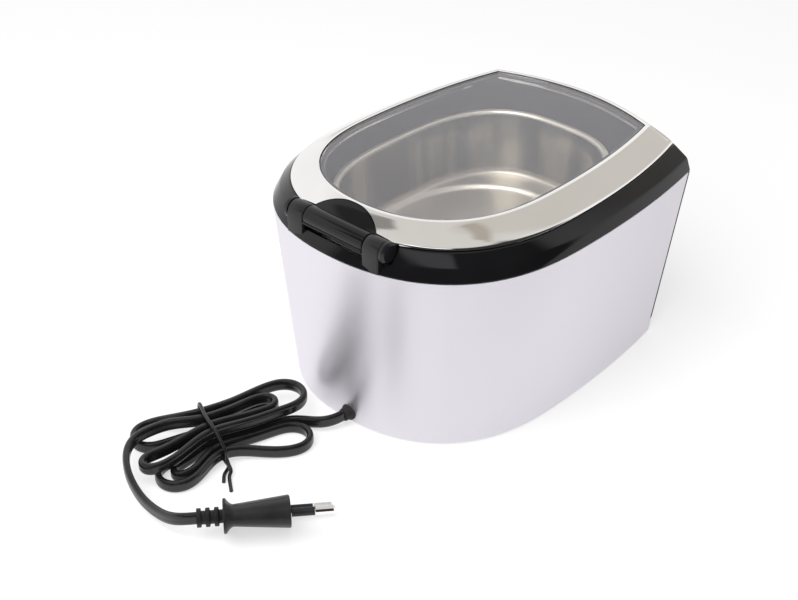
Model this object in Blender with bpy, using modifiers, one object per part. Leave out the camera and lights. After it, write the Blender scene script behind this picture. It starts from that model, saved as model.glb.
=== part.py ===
"""Bench-top ultrasonic cleaner with a hinged window lid and a tied mains cord.

Metres, +Z up, front towards -Y. The origin lies on the floor under the middle of the housing.
"""

import math
from collections import namedtuple

import bmesh
import bpy
import numpy as np
from mathutils import Matrix, Vector

# A plan level: half width, reach to the rear and to the front corners from the widest line,
# how far the sides draw in at those corners, and the bow of the front
Level = namedtuple("Level", "width rear corner tuck bow")

# Driving sizes of the plan at the foot of the bezel
HALF_WIDTH = 0.0797
REAR_REACH = 0.0937
CORNER_REACH = 0.0890
CORNER_TUCK = 0.0083
FRONT_BOW = 0.0145
REAR_SIDE_POWER = 2.21
REAR_END_POWER = 2.77
REAR_STEPS = 12
SIDE_STEPS = 6
FRONT_STEPS = 5

# What each other level draws in from that plan
FOOT_INSET = Level(0.0098, 0.0083, 0.0092, 0.0018, 0.0020)
BAND_INSET = Level(0.0019, 0.0047, -0.0003, -0.0007, 0.0007)
LID_INSET = Level(0.0080, 0.0086, 0.0012, -0.0028, 0.0025)
WINDOW_INSET = Level(0.0225, 0.0203, 0.0076, -0.0013, 0.0045)

# Clearances
GAP = 0.0003
SLIDE_GAP = 0.0005

# Heights
FOOT_HEIGHT = 0.0012
SHELL_TOP = 0.0957
BAND_HEIGHT = 0.0058
BEZEL_RISE = 0.0053
LID_GAP = 0.0005
LID_RISE = 0.0078

# Walls
SHELL_WALL = 0.0024
BASE_THICKNESS = 0.0025
DECK_THICKNESS = 0.0022
SKIRT_DEPTH = 0.0040
SKIRT_WIDTH = 0.0020
SKIRT_GAP = 0.0010
LAND_WIDTH = 0.0035

# Front fascia, display and buttons
FASCIA_THICKNESS = 0.0016
FASCIA_SILL = 0.0100
DISPLAY_SIZE = (0.0300, 0.0160)
DISPLAY_HEIGHT = 0.0720
LENS_THICKNESS = 0.0020
BUTTON_RADIUS = 0.0055
BUTTON_FLANGE = 0.0014
BUTTON_PITCH = 0.0210
BUTTON_HEIGHT = 0.0480
BUTTON_PROUD = 0.0012
BUTTON_TRAVEL = 0.0008
FLANGE_ROOM = 0.0022
BOARD_SETBACK = 0.0060
SWITCH_SIZE = 0.0060
CONTROL_MARGIN = 0.0100
BOARD_THICKNESS = 0.0016

# Tank: inside half sizes at the mouth
TANK_HALF_X = 0.0496
TANK_HALF_Y = 0.0682
TANK_Y = -0.0017
TANK_DEPTH = 0.0370
TANK_WALL = 0.0008
TANK_RIM = 0.0030
TANK_STEP = 0.0020
FLOOR_HALF_X = 0.0465
FLOOR_HALF_Y = 0.0537
OVAL_POWER = 2.8
OVAL_STEPS = 40
GASKET_THICKNESS = 0.0008
DECK_DROP = 0.0092

# Lid
FRAME_THICKNESS = 0.0024
WINDOW_THICKNESS = 0.0020
LEDGE_WIDTH = 0.0026
SEAL_THICKNESS = 0.0006
TAB_RADIUS = 0.0316
TAB_FRONT = 0.0013
NOTCH_GAP = 0.0004

# Hinge
KNUCKLE_RADIUS = 0.0050
HINGE_DROP = 0.0017
HINGE_BACK = 0.0005
PIN_RADIUS = 0.0015
POST_INNER = 0.0190
POST_WIDTH = 0.0098
POST_PROUD = 0.0003
CAP_LENGTH = 0.0026
CAP_RADIUS = 0.0052
LIP_SIZE = (0.0016, 0.0012)
LIP_SINK = 0.0006
LIP_DROP = 0.0020
BARREL_ROOM = 0.0018

# Feet and base screws, set in from the foot of the wall
FOOT_RADIUS = 0.0070
STEM_RADIUS = 0.0025
FOOT_SETBACK = 0.0160
BOSS_RADIUS = 0.0050
BOSS_HEIGHT = 0.0140
BOSS_SETBACK = 0.0042
SCREW_RADIUS = 0.0013
SCREW_HEAD = 0.0026
HEAD_HEIGHT = 0.0011
SEAT_DEPTH = 0.0014
VENT_SIZE = (0.0500, 0.0025)
VENT_PITCH = 0.0065
VENT_COUNT = 5

# Transducer stack under the tank
HORN_RADIUS = 0.0225
STACK_RADIUS = 0.0190
HORN_HEIGHT = 0.0140
PIEZO_HEIGHT = 0.0050
ELECTRODE_HEIGHT = 0.0008
BACK_HEIGHT = 0.0100
STACK_BORE = 0.0045
BOLT_RADIUS = 0.0040

# Driver board
DRIVER_SIZE = (0.0820, 0.0360)
DRIVER_FRONT = 0.0140
STANDOFF_HEIGHT = 0.0060
STANDOFF_RADIUS = 0.0035
STANDOFF_INSET = 0.0045
TRANSFORMER_SIZE = (0.0260, 0.0220, 0.0220)
COIL_RADIUS = 0.0075
COIL_HEIGHT = 0.0090
CAPACITOR_RADIUS = 0.0070
CAPACITOR_HEIGHT = 0.0200
FUSE_SIZE = (0.0200, 0.0080, 0.0090)
SINK_SIZE = (0.0200, 0.0120, 0.0200)
SINK_FINS = 5
SINK_GAP = 0.0010

# Places on the driver board, as shares of its length and depth from the middle
TRANSFORMER_SPOT = (0.085, 0.0)
FUSE_SPOT = (-0.25, -0.347)
COIL_SPOT = (-0.40, 0.03)
CAPACITOR_SPOT = (-0.205, 0.222)

# Cord: flat twin section, standing on its narrow edge
CORD_WIDTH = 0.0060
CORD_THICKNESS = 0.0034
CORD_FLOOR = 0.0002
CORD_STEP = 0.0045
GLAND_X = -0.0045
GLAND_HEIGHT = 0.0062
GLAND_RADIUS = 0.0046
GLAND_NOSE = 0.0040

# Hank: middle and direction on the floor, where the tie gathers it, and the two layers it lies in
HANK_MIDDLE = (0.0262, 0.1453)
HANK_ANGLE = math.radians(72.75)
HANK_WAIST = 0.0040
HANK_LAYER = 0.0067
HANK_HUMP = 0.0026
HANK_HUMP_SPAN = 0.0160
FOLD_STEPS = 6
RUN_STEPS = 4

# Runs of the hank in the order the cord takes them: place across the waist and layer
HANK_RUNS = (
    (-0.0031, 0), (-0.0078, 0), (-0.0126, 0), (0.0016, 0), (0.0064, 0),
    (0.0124, 1), (-0.0040, 1), (0.0008, 1), (0.0070, 1),
)

# Folds between the runs: place along and across the hank, radius and layer
HANK_FOLDS = (
    (0.0260, -0.0131, 0.0044, 0), (-0.0296, -0.0149, 0.0094, 0), (0.0280, -0.0138, 0.0094, 0),
    (-0.0270, 0.0095, 0.0063, 0), (0.0280, 0.0185, 0.0092, 0), (-0.0370, 0.0090, 0.0105, 1),
    (0.0385, -0.0085, 0.0050, 1), (-0.0270, 0.0075, 0.0054, 1),
)
HANK_START = (-0.0270, -0.0013)
HANK_END = (0.0240, 0.0146)

# Where the lead and the tail pass, in the hank's own coordinates
LEAD_POINTS = (
    (-0.0478, -0.0143, 0.0056), (-0.0430, -0.0098, 0.0046), (-0.0386, -0.0046, 0.0034), (-0.0342, -0.0018, 0.0032),
)
TAIL_POINTS = (
    (0.0375, 0.0128, 0.0100), (0.0450, 0.0050, 0.0099), (0.0488, -0.0050, 0.0094), (0.0502, -0.0145, 0.0078),
    (0.0494, -0.0262, 0.0056), (0.0470, -0.0380, 0.0062), (0.0446, -0.0470, 0.0088),
)

# Tie and plug
TIE_RADIUS = 0.0009
TIE_ROOM = 0.0006
PLUG_START = (-0.0161, 0.1956)
PLUG_HEADING = math.radians(230.4)
PLUG_TILT = math.radians(36.0)
PLUG_POWER = 2.3
BOOT_LENGTH = 0.0115
BOOT_RIBS = 3
BOOT_HALF = 0.0046
BOOT_GROOVE = 0.0032
FLANGE_LENGTH = 0.0026
FLANGE_HALF = (0.0130, 0.0080)
NECK_HALF = (0.0120, 0.0062)
FACE_HALF = (0.0145, 0.0081)
PLUG_BODY_LENGTH = 0.0265
PIN_SPACING = 0.0190
SLEEVE_LENGTH = 0.0100
PIN_TIP_LENGTH = 0.0090
PLUG_PIN_RADIUS = 0.0020
SLEEVE_RADIUS = 0.0019

# Colour, roughness and metallic value of each finish
FINISHES = {
    "silver": ((0.78, 0.78, 0.81), 0.38, 0.6),
    "gloss_black": ((0.012, 0.012, 0.014), 0.12, 0.0),
    "chrome": ((0.90, 0.90, 0.89), 0.05, 1.0),
    "smoked": ((0.25, 0.25, 0.27), 0.05, 0.0),
    "steel": ((0.66, 0.64, 0.61), 0.22, 1.0),
    "rubber": ((0.02, 0.02, 0.02), 0.7, 0.0),
    "board": ((0.04, 0.20, 0.09), 0.5, 0.0),
    "aluminium": ((0.75, 0.75, 0.76), 0.35, 1.0),
    "ceramic": ((0.60, 0.52, 0.38), 0.6, 0.0),
    "copper": ((0.72, 0.36, 0.18), 0.35, 1.0),
    "dark_plastic": ((0.03, 0.03, 0.035), 0.45, 0.0),
    "grey_plastic": ((0.55, 0.55, 0.57), 0.45, 0.0),
    "cord_black": ((0.02, 0.02, 0.022), 0.4, 0.0),
}


def less(level, inset):
    """Draws a level in by a separate amount for each of its sizes."""
    return Level(*(size - cut for size, cut in zip(level, inset)))


def offset(level, distance):
    """Draws a level in by one distance all round."""
    corner_x = level.width - level.tuck
    bow = level.bow * ((corner_x - distance) / corner_x) ** 2
    return Level(level.width - distance, level.rear - distance, level.corner - distance, level.tuck, bow)


BEZEL = Level(HALF_WIDTH, REAR_REACH, CORNER_REACH, CORNER_TUCK, FRONT_BOW)
FOOT = less(BEZEL, FOOT_INSET)
BAND = less(BEZEL, BAND_INSET)
LID = less(BEZEL, LID_INSET)
WINDOW = less(BEZEL, WINDOW_INSET)

WAIST_Y = (CORNER_REACH + FRONT_BOW - REAR_REACH) / 2
BEZEL_Z = SHELL_TOP + GAP
BAND_Z = BEZEL_Z + BAND_HEIGHT
RIM_Z = BAND_Z + BEZEL_RISE
LID_Z = RIM_Z + LID_GAP
WINDOW_Z = LID_Z + LID_RISE
DECK_Z = RIM_Z - DECK_DROP
MOUTH_Z = DECK_Z + GASKET_THICKNESS + 2 * GAP + TANK_WALL + 0.0002
FLOOR_Z = MOUTH_Z - TANK_DEPTH
BASE_TOP = FOOT_HEIGHT + BASE_THICKNESS
FRONT_WALL = SHELL_WALL + FASCIA_THICKNESS + GAP
HINGE_Y = WAIST_Y + LID.rear + HINGE_BACK
HINGE_Z = LID_Z - HINGE_DROP
POST_OUTER = POST_INNER + POST_WIDTH


def shell_level(z):
    """Outside of the tapered housing at height z."""
    share = (z - FOOT_HEIGHT) / (SHELL_TOP - FOOT_HEIGHT)
    return Level(*(low + (high - low) * share for low, high in zip(FOOT, BEZEL)))


def shell_inside(level):
    """Inside of the housing: a plain wall, thicker behind the fascia."""
    inner = offset(level, SHELL_WALL)
    return inner._replace(corner=level.corner - FRONT_WALL)


def plan(level, z):
    """Closed outline at height z: rounded rear, sides that draw in to sharp front corners, bowed front."""
    turn = np.linspace(0.0, math.pi / 2, REAR_STEPS + 1)
    rear_x = level.width * np.sin(turn) ** (2 / REAR_SIDE_POWER)
    rear_y = level.rear * np.abs(np.cos(turn)) ** (2 / REAR_END_POWER)
    corner_x = level.width - level.tuck
    side_length = level.corner / math.sqrt(1 - (corner_x / level.width) ** 2)
    side_y = np.linspace(0.0, level.corner, SIDE_STEPS + 1)[1:]
    side_x = level.width * np.sqrt(1 - (side_y / side_length) ** 2)
    front_x = corner_x * np.linspace(1.0, 0.0, FRONT_STEPS + 1)[1:]
    front_y = level.corner + level.bow * (1 - (front_x / corner_x) ** 2)
    x = np.concatenate([rear_x, side_x, front_x])
    y = WAIST_Y + np.concatenate([rear_y, -side_y, -front_y])
    x = np.concatenate([x, -x[-2:0:-1]])
    y = np.concatenate([y, y[-2:0:-1]])
    return np.stack([x, y, np.full(len(x), z)], axis=1)


def front_y(level, x):
    """Where the bowed front of a level stands at x."""
    corner_x = level.width - level.tuck
    return WAIST_Y - level.corner - level.bow * (1 - (x / corner_x) ** 2)


def oval(half_x, half_y, power, z, like):
    """Oval about the tank's middle, its points in the directions of another ring's."""
    across = like[:, 0]
    along = like[:, 1] - TANK_Y
    scale = (np.abs(across / half_x) ** power + np.abs(along / half_y) ** power) ** (-1 / power)
    return np.stack([across * scale, TANK_Y + along * scale, np.full(len(like), z)], axis=1)


def mouth_oval(inset, z, like):
    """Outline of the tank's mouth, drawn in by an inset."""
    return oval(TANK_HALF_X - inset, TANK_HALF_Y - inset, OVAL_POWER, z, like)


def tank_circle():
    turn = np.linspace(0.0, 2 * math.pi, OVAL_STEPS, endpoint=False)
    return np.stack([TANK_HALF_X * np.sin(turn), TANK_Y + TANK_HALF_Y * np.cos(turn)], axis=1)


def tank_ring(inset, z):
    return mouth_oval(inset, z, tank_circle())


def floor_ring(inset, z):
    """Plain ellipse pressed into the tank's floor."""
    return oval(FLOOR_HALF_X - inset, FLOOR_HALF_Y - inset, 2.0, z, tank_circle())


def new_collection(name):
    collection = bpy.data.collections.new(name)
    bpy.context.scene.collection.children.link(collection)
    return collection


for leftover in list(bpy.data.objects):
    bpy.data.objects.remove(leftover, do_unlink=True)
PARTS = new_collection("ultrasonic_cleaner")
CUTTERS = new_collection("cutters")


def add_object(name, data, centre=(0.0, 0.0, 0.0), turn=(0.0, 0.0, 0.0)):
    obj = bpy.data.objects.new(name, data)
    obj.location = centre
    obj.rotation_euler = turn
    PARTS.objects.link(obj)
    return obj


def finish(obj, kind):
    """Gives an object its own material."""
    colour, roughness, metallic = FINISHES[kind]
    material = bpy.data.materials.new(obj.name)
    material.use_nodes = True
    shader = material.node_tree.nodes["Principled BSDF"]
    shader.inputs["Base Color"].default_value = (*colour, 1.0)
    shader.inputs["Roughness"].default_value = roughness
    shader.inputs["Metallic"].default_value = metallic
    obj.data.materials.append(material)
    return obj


def mesh_from(work, name):
    mesh = bpy.data.meshes.new(name)
    work.to_mesh(mesh)
    work.free()
    return mesh


def lofted(name, rings, hollow=False):
    """Skins a row of rings: capped at both ends, or closed on itself into a hollow ring."""
    count = len(rings[0])
    spans = len(rings) if hollow else len(rings) - 1
    faces = []
    for low in range(spans):
        high = (low + 1) % len(rings)
        for i in range(count):
            j = (i + 1) % count
            faces.append((low * count + i, low * count + j, high * count + j, high * count + i))
    if not hollow:
        faces.append(tuple(range(count)))
        faces.append(tuple(range((len(rings) - 1) * count, len(rings) * count)))
    mesh = bpy.data.meshes.new(name)
    mesh.from_pydata(np.concatenate(rings).tolist(), [], faces)
    work = bmesh.new()
    work.from_mesh(mesh)
    bmesh.ops.recalc_face_normals(work, faces=work.faces[:])
    work.to_mesh(mesh)
    work.free()
    return add_object(name, mesh)


def box(name, size, centre):
    work = bmesh.new()
    bmesh.ops.create_cube(work, size=1.0, matrix=Matrix.Diagonal((*size, 1.0)))
    return add_object(name, mesh_from(work, name), centre)


AXIS_TURN = {"X": (0.0, math.pi / 2, 0.0), "Y": (-math.pi / 2, 0.0, 0.0), "Z": (0.0, 0.0, 0.0)}


def cylinder(name, radius, length, centre, axis="Z", sides=32):
    work = bmesh.new()
    bmesh.ops.create_cone(work, cap_ends=True, segments=sides, radius1=radius, radius2=radius, depth=length)
    return add_object(name, mesh_from(work, name), centre, AXIS_TURN[axis])


def turned(name, profile, centre, axis="Z", steps=20, ring=False):
    """Turns a profile of (radius, height) points, which runs down its outer side."""
    count = len(profile)
    edges = [(i, (i + 1) % count) for i in range(count if ring else count - 1)]
    mesh = bpy.data.meshes.new(name)
    mesh.from_pydata([(radius, 0.0, height) for radius, height in profile], edges, [])
    obj = add_object(name, mesh, centre, AXIS_TURN[axis])
    screw = obj.modifiers.new("turn", "SCREW")
    screw.steps = steps
    screw.render_steps = steps
    screw.use_merge_vertices = True
    screw.merge_threshold = 0.00001
    return obj


def combine(target, tool, operation):
    boolean = target.modifiers.new(tool.name, "BOOLEAN")
    boolean.operation = operation
    boolean.object = tool
    if tool.name in PARTS.objects:
        PARTS.objects.unlink(tool)
        CUTTERS.objects.link(tool)
    tool.hide_render = True
    tool.display_type = "WIRE"


def cut(target, tool):
    combine(target, tool, "DIFFERENCE")


def fuse(target, tool):
    combine(target, tool, "UNION")


def round_edges(obj, width, segments=2):
    bevel = obj.modifiers.new("rounded", "BEVEL")
    bevel.width = width
    bevel.segments = segments
    bevel.limit_method = "ANGLE"
    bevel.angle_limit = math.radians(40)


def hang_on(parent, *children):
    """Parents pieces to an empty without moving them."""
    bpy.context.view_layer.update()
    for child in children:
        child.parent = parent
        child.matrix_parent_inverse = parent.matrix_world.inverted()


def front_slab(name, low, high, proud, depth, overhang):
    """Plate that follows the bowed, leaning front between two heights."""
    rings = []
    for z in (low, high):
        level = shell_level(z)
        half = level.width - level.tuck + overhang
        across = np.linspace(-half, half, 2 * FRONT_STEPS + 1)
        face = front_y(level, across)
        outer = np.stack([across, face - proud, np.full(len(across), z)], axis=1)
        inner = np.stack([across, face + depth, np.full(len(across), z)], axis=1)
        rings.append(np.concatenate([outer, inner[::-1]]))
    return lofted(name, rings)


def around(setback, shares):
    """Points on the foot's plan, set in from its edge, at shares of the way from rear to front on both sides."""
    ring = plan(offset(FOOT, setback), FOOT_HEIGHT)
    half = REAR_STEPS + SIDE_STEPS + FRONT_STEPS
    picks = [round(share * half) for share in shares]
    return [Vector(ring[i] * (side, 1, 1)) for i in picks for side in (-1, 1)]


FOOT_SHARES = (0.32, 0.74)
BOSS_SHARES = (0.25, 0.70)
FEET = around(FOOT_SETBACK, FOOT_SHARES)
BOSSES = around(SHELL_WALL + BOSS_SETBACK, BOSS_SHARES)
GLAND_Y = WAIST_Y + shell_level(GLAND_HEIGHT).rear


def make_body_shell():
    """Tapered housing wall with a pocket for the fascia, a window for the controls and a cord hole."""
    rings = [
        plan(FOOT, FOOT_HEIGHT),
        plan(BEZEL, SHELL_TOP),
        plan(shell_inside(BEZEL), SHELL_TOP),
        plan(shell_inside(FOOT), FOOT_HEIGHT),
    ]
    shell = finish(lofted("body_shell", rings, hollow=True), "silver")
    depth = FASCIA_THICKNESS + GAP
    cut(shell, front_slab("fascia_pocket", FASCIA_SILL - GAP, SHELL_TOP + 0.004, 0.004, depth, 0.004))
    low = BUTTON_HEIGHT - CONTROL_MARGIN
    high = DISPLAY_HEIGHT + CONTROL_MARGIN
    half = BUTTON_PITCH + CONTROL_MARGIN
    middle = (0.0, front_y(BEZEL, 0.0), (low + high) / 2)
    cut(shell, box("control_window", (2 * half, 0.05, high - low), middle))
    for number, point in enumerate(BOSSES):
        centre = point + Vector((0.0, 0.0, BASE_THICKNESS + GAP + BOSS_HEIGHT / 2))
        fuse(shell, cylinder(f"boss_{number}", BOSS_RADIUS, BOSS_HEIGHT, centre, sides=16))
        cut(shell, cylinder(f"boss_bore_{number}", SCREW_RADIUS + GAP, BOSS_HEIGHT, centre, sides=12))
    hole = GLAND_RADIUS + GAP
    cut(shell, cylinder("cord_hole", hole, 0.02, (GLAND_X, GLAND_Y, GLAND_HEIGHT), "Y", 24))


def make_base():
    """Base plate with vents and stand-offs, its screws, and four push-in rubber feet."""
    level = offset(shell_inside(FOOT), SLIDE_GAP)
    plate = lofted("base_plate", [plan(level, FOOT_HEIGHT), plan(level, BASE_TOP)])
    finish(plate, "dark_plastic")
    for number in range(VENT_COUNT):
        y = TANK_Y + (number - (VENT_COUNT - 1) / 2) * VENT_PITCH
        cut(plate, box(f"vent_{number}", (*VENT_SIZE, 0.02), (0.0, y, BASE_TOP)))
    for number, (x, y) in enumerate(standoffs()):
        centre = (x, y, BASE_TOP + STANDOFF_HEIGHT / 2 - GAP)
        fuse(plate, cylinder(f"standoff_{number}", STANDOFF_RADIUS, STANDOFF_HEIGHT, centre, sides=16))
        bore = (x, y, BASE_TOP + STANDOFF_HEIGHT)
        cut(plate, cylinder(f"standoff_bore_{number}", SCREW_RADIUS + GAP, STANDOFF_HEIGHT, bore, sides=12))
    cut(plate, cylinder("gland_room", GLAND_RADIUS + 0.0026, 0.02, (GLAND_X, GLAND_Y, GLAND_HEIGHT), "Y", 24))
    for number, point in enumerate(BOSSES):
        cut(plate, cylinder(f"screw_hole_{number}", SCREW_RADIUS + GAP, 0.02, point, sides=12))
        cut(plate, cylinder(f"screw_seat_{number}", SCREW_HEAD + GAP, 2 * SEAT_DEPTH, point, sides=16))
        seat = point + Vector((0.0, 0.0, SEAT_DEPTH - GAP))
        screw(f"base_screw_{number + 1}", seat, BOSS_HEIGHT / 2, head_up=False)
    for number, point in enumerate(FEET):
        cut(plate, cylinder(f"foot_hole_{number}", STEM_RADIUS + GAP, 0.02, point, sides=16))
        make_foot(f"foot_{number + 1}", point)


def make_foot(name, point):
    pad = FOOT_HEIGHT - GAP
    profile = [
        (0.0, BASE_TOP + 0.0010),
        (STEM_RADIUS * 0.7, BASE_TOP + 0.0010),
        (STEM_RADIUS, BASE_TOP),
        (STEM_RADIUS, pad),
        (FOOT_RADIUS, pad),
        (FOOT_RADIUS, 0.0003),
        (FOOT_RADIUS - 0.0003, 0.0),
        (0.0, 0.0),
    ]
    finish(turned(name, profile, (point.x, point.y, 0.0), steps=16), "rubber")


def screw(name, centre, shank, head_up):
    """One screw, its head resting at the centre given, either above its shank or below it."""
    sign = 1 if head_up else -1
    profile = [
        (0.0, sign * HEAD_HEIGHT),
        (SCREW_HEAD, sign * HEAD_HEIGHT),
        (SCREW_HEAD, 0.0),
        (SCREW_RADIUS, 0.0),
        (SCREW_RADIUS, -sign * shank),
        (0.0, -sign * shank),
    ]
    ordered = profile if head_up else profile[::-1]
    finish(turned(name, ordered, centre, steps=10), "steel")


def make_bezel():
    """Moulded top: sloped rim, land for the lid, deck round the tank, skirt inside the shell, hinge posts."""
    like = plan(LID, 0.0)
    skirt = offset(shell_inside(BEZEL), SKIRT_GAP)
    skirt_inner = offset(skirt, SKIRT_WIDTH)
    land = offset(LID, LAND_WIDTH)
    rings = [
        plan(BEZEL, BEZEL_Z),
        plan(BAND, BAND_Z),
        plan(offset(LID, -SLIDE_GAP), RIM_Z),
        plan(land, RIM_Z),
        plan(offset(land, SLIDE_GAP), DECK_Z + 0.0010),
        mouth_oval(-TANK_WALL - SLIDE_GAP, DECK_Z, like),
        mouth_oval(-TANK_WALL - SLIDE_GAP, DECK_Z - DECK_THICKNESS, like),
        plan(skirt_inner, DECK_Z - DECK_THICKNESS),
        plan(skirt_inner, BEZEL_Z - SKIRT_DEPTH),
        plan(skirt, BEZEL_Z - SKIRT_DEPTH),
        plan(skirt, BEZEL_Z),
    ]
    bezel = finish(lofted("top_bezel", rings, hollow=True), "gloss_black")
    axis = (0.0, HINGE_Y, HINGE_Z)
    ends = 2 * (POST_OUTER + CAP_LENGTH + SLIDE_GAP + GAP)
    cut(bezel, cylinder("cap_room", CAP_RADIUS + SLIDE_GAP, ends, axis, "X", 24))
    cut(bezel, cylinder("barrel_room", KNUCKLE_RADIUS + BARREL_ROOM, 2 * POST_INNER, axis, "X", 24))
    face = HINGE_Y + KNUCKLE_RADIUS + POST_PROUD
    foot = BEZEL_Z + 0.0002
    for side, word in ((-1, "right"), (1, "left")):
        x = side * (POST_INNER + POST_WIDTH / 2)
        size = (POST_WIDTH, face - HINGE_Y, HINGE_Z - foot)
        post = box(f"hinge_post_{word}", size, (x, (face + HINGE_Y) / 2, (HINGE_Z + foot) / 2))
        fuse(bezel, post)
        centre = (x, HINGE_Y, HINGE_Z)
        fuse(bezel, cylinder(f"knuckle_{word}", KNUCKLE_RADIUS, POST_WIDTH, centre, "X", 24))
    cut(bezel, cylinder("pin_bore", PIN_RADIUS + GAP, ends, axis, "X", 16))


def frame_rings():
    """Section of the lid frame: sloped top, window rebate with its ledge, and a hollow underside."""
    ledge = offset(WINDOW, LEDGE_WIDTH)
    rebate = WINDOW_Z - WINDOW_THICKNESS - SEAL_THICKNESS - 3 * GAP
    crown = Level(*((edge + inner) / 2 for edge, inner in zip(LID, WINDOW)))
    return [
        plan(LID, LID_Z),
        plan(offset(LID, 0.0004), LID_Z + 0.0009),
        plan(crown, (LID_Z + WINDOW_Z) / 2 + 0.0009),
        plan(WINDOW, WINDOW_Z),
        plan(WINDOW, rebate),
        plan(ledge, rebate),
        plan(ledge, rebate - 0.0012),
        plan(offset(WINDOW, -0.0010), rebate - 0.0012),
        plan(offset(LID, FRAME_THICKNESS), LID_Z),
    ]


def make_lid():
    """Chrome frame with its hinge notch, smoked window and seal."""
    frame = finish(lofted("lid_frame", frame_rings(), hollow=True), "chrome")
    tab_middle = WAIST_Y + WINDOW.rear + TAB_FRONT + TAB_RADIUS
    cut(frame, cylinder("tab_notch", TAB_RADIUS, TAB_RADIUS, (0.0, tab_middle, LID_Z), sides=48))
    axis = (0.0, HINGE_Y, HINGE_Z)
    length = 2 * (POST_OUTER + CAP_LENGTH + SLIDE_GAP + GAP)
    cut(frame, cylinder("hinge_room", CAP_RADIUS + SLIDE_GAP, length, axis, "X", 24))
    glass = offset(WINDOW, GAP)
    window_low = WINDOW_Z - WINDOW_THICKNESS - GAP
    pane = lofted("lid_window", [plan(glass, window_low), plan(glass, WINDOW_Z - GAP)])
    finish(pane, "smoked")
    seal_low = window_low - GAP - SEAL_THICKNESS
    outer = offset(WINDOW, 2 * GAP)
    inner = offset(WINDOW, LEDGE_WIDTH - GAP)
    rings = [
        plan(outer, seal_low),
        plan(outer, seal_low + SEAL_THICKNESS),
        plan(inner, seal_low + SEAL_THICKNESS),
        plan(inner, seal_low),
    ]
    seal = finish(lofted("window_seal", rings, hollow=True), "rubber")
    return frame, pane, seal


def make_hinge():
    """Leaf on the lid (tab, barrel and lip), the pin through the knuckles and its two end caps."""
    axis = (0.0, HINGE_Y, HINGE_Z)
    tab_middle = WAIST_Y + WINDOW.rear + TAB_FRONT + TAB_RADIUS
    leaf = finish(lofted("hinge_leaf", frame_rings(), hollow=True), "gloss_black")
    disc = cylinder("tab_disc", TAB_RADIUS - NOTCH_GAP, TAB_RADIUS, (0.0, tab_middle, LID_Z), sides=48)
    combine(leaf, disc, "INTERSECT")
    half = POST_INNER - NOTCH_GAP
    tab_size = (2 * half, 2 * TAB_RADIUS, TAB_RADIUS)
    tab_width = box("tab_width", tab_size, (0.0, tab_middle - TAB_RADIUS, LID_Z))
    combine(leaf, tab_width, "INTERSECT")
    fuse(leaf, cylinder("barrel", KNUCKLE_RADIUS, 2 * half, axis, "X", 24))
    lip_spot = (0.0, HINGE_Y + KNUCKLE_RADIUS - LIP_SINK, HINGE_Z - LIP_DROP)
    fuse(leaf, box("barrel_lip", (2 * half, *LIP_SIZE), lip_spot))
    cut(leaf, cylinder("barrel_bore", PIN_RADIUS + GAP, 4 * half, axis, "X", 16))
    finish(cylinder("hinge_pin", PIN_RADIUS, 2 * POST_OUTER, axis, "X", 16), "steel")
    for side, word in ((-1, "right"), (1, "left")):
        x = side * (POST_OUTER + GAP)
        profile = [
            (0.0, CAP_LENGTH),
            (CAP_RADIUS - 0.0012, CAP_LENGTH),
            (CAP_RADIUS, CAP_LENGTH - 0.0010),
            (CAP_RADIUS, 0.0),
            (0.0, 0.0),
        ]
        cap = turned(f"hinge_cap_{word}", profile, (x, HINGE_Y, HINGE_Z), steps=24)
        cap.rotation_euler = (0.0, side * math.pi / 2, 0.0)
        finish(cap, "gloss_black")
    return leaf


def make_tank():
    """Drawn tank: flat rim, tapered wall, rounded foot and an ellipse pressed into the floor; gasket under the rim."""
    mouth = MOUTH_Z
    ledge = FLOOR_Z + TANK_STEP
    wall = TANK_WALL
    under = mouth - wall - 0.0002
    rings = [
        floor_ring(TANK_STEP, FLOOR_Z),
        floor_ring(0.0, ledge),
        tank_ring(0.0028, ledge + 0.0003),
        tank_ring(0.0022, ledge + 0.0030),
        tank_ring(0.0, mouth - 0.0010),
        tank_ring(-0.0008, mouth),
        tank_ring(-TANK_RIM, mouth),
        tank_ring(-TANK_RIM, under),
        tank_ring(-wall - GAP, under),
        tank_ring(-wall, under - 0.0010),
        tank_ring(0.0022 - wall, ledge + 0.0030 - wall),
        tank_ring(0.0028 - wall, ledge + 0.0003 - wall),
        floor_ring(-wall, ledge - wall),
        floor_ring(TANK_STEP - wall, FLOOR_Z - wall),
    ]
    tank = lofted("tank", rings)
    finish(tank, "steel")
    low = DECK_Z + GAP
    high = low + GASKET_THICKNESS
    near = -TANK_WALL - SLIDE_GAP - GAP
    rings = [tank_ring(inset, z) for inset, z in ((-TANK_RIM, low), (-TANK_RIM, high), (near, high), (near, low))]
    finish(lofted("tank_gasket", rings, hollow=True), "rubber")


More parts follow.
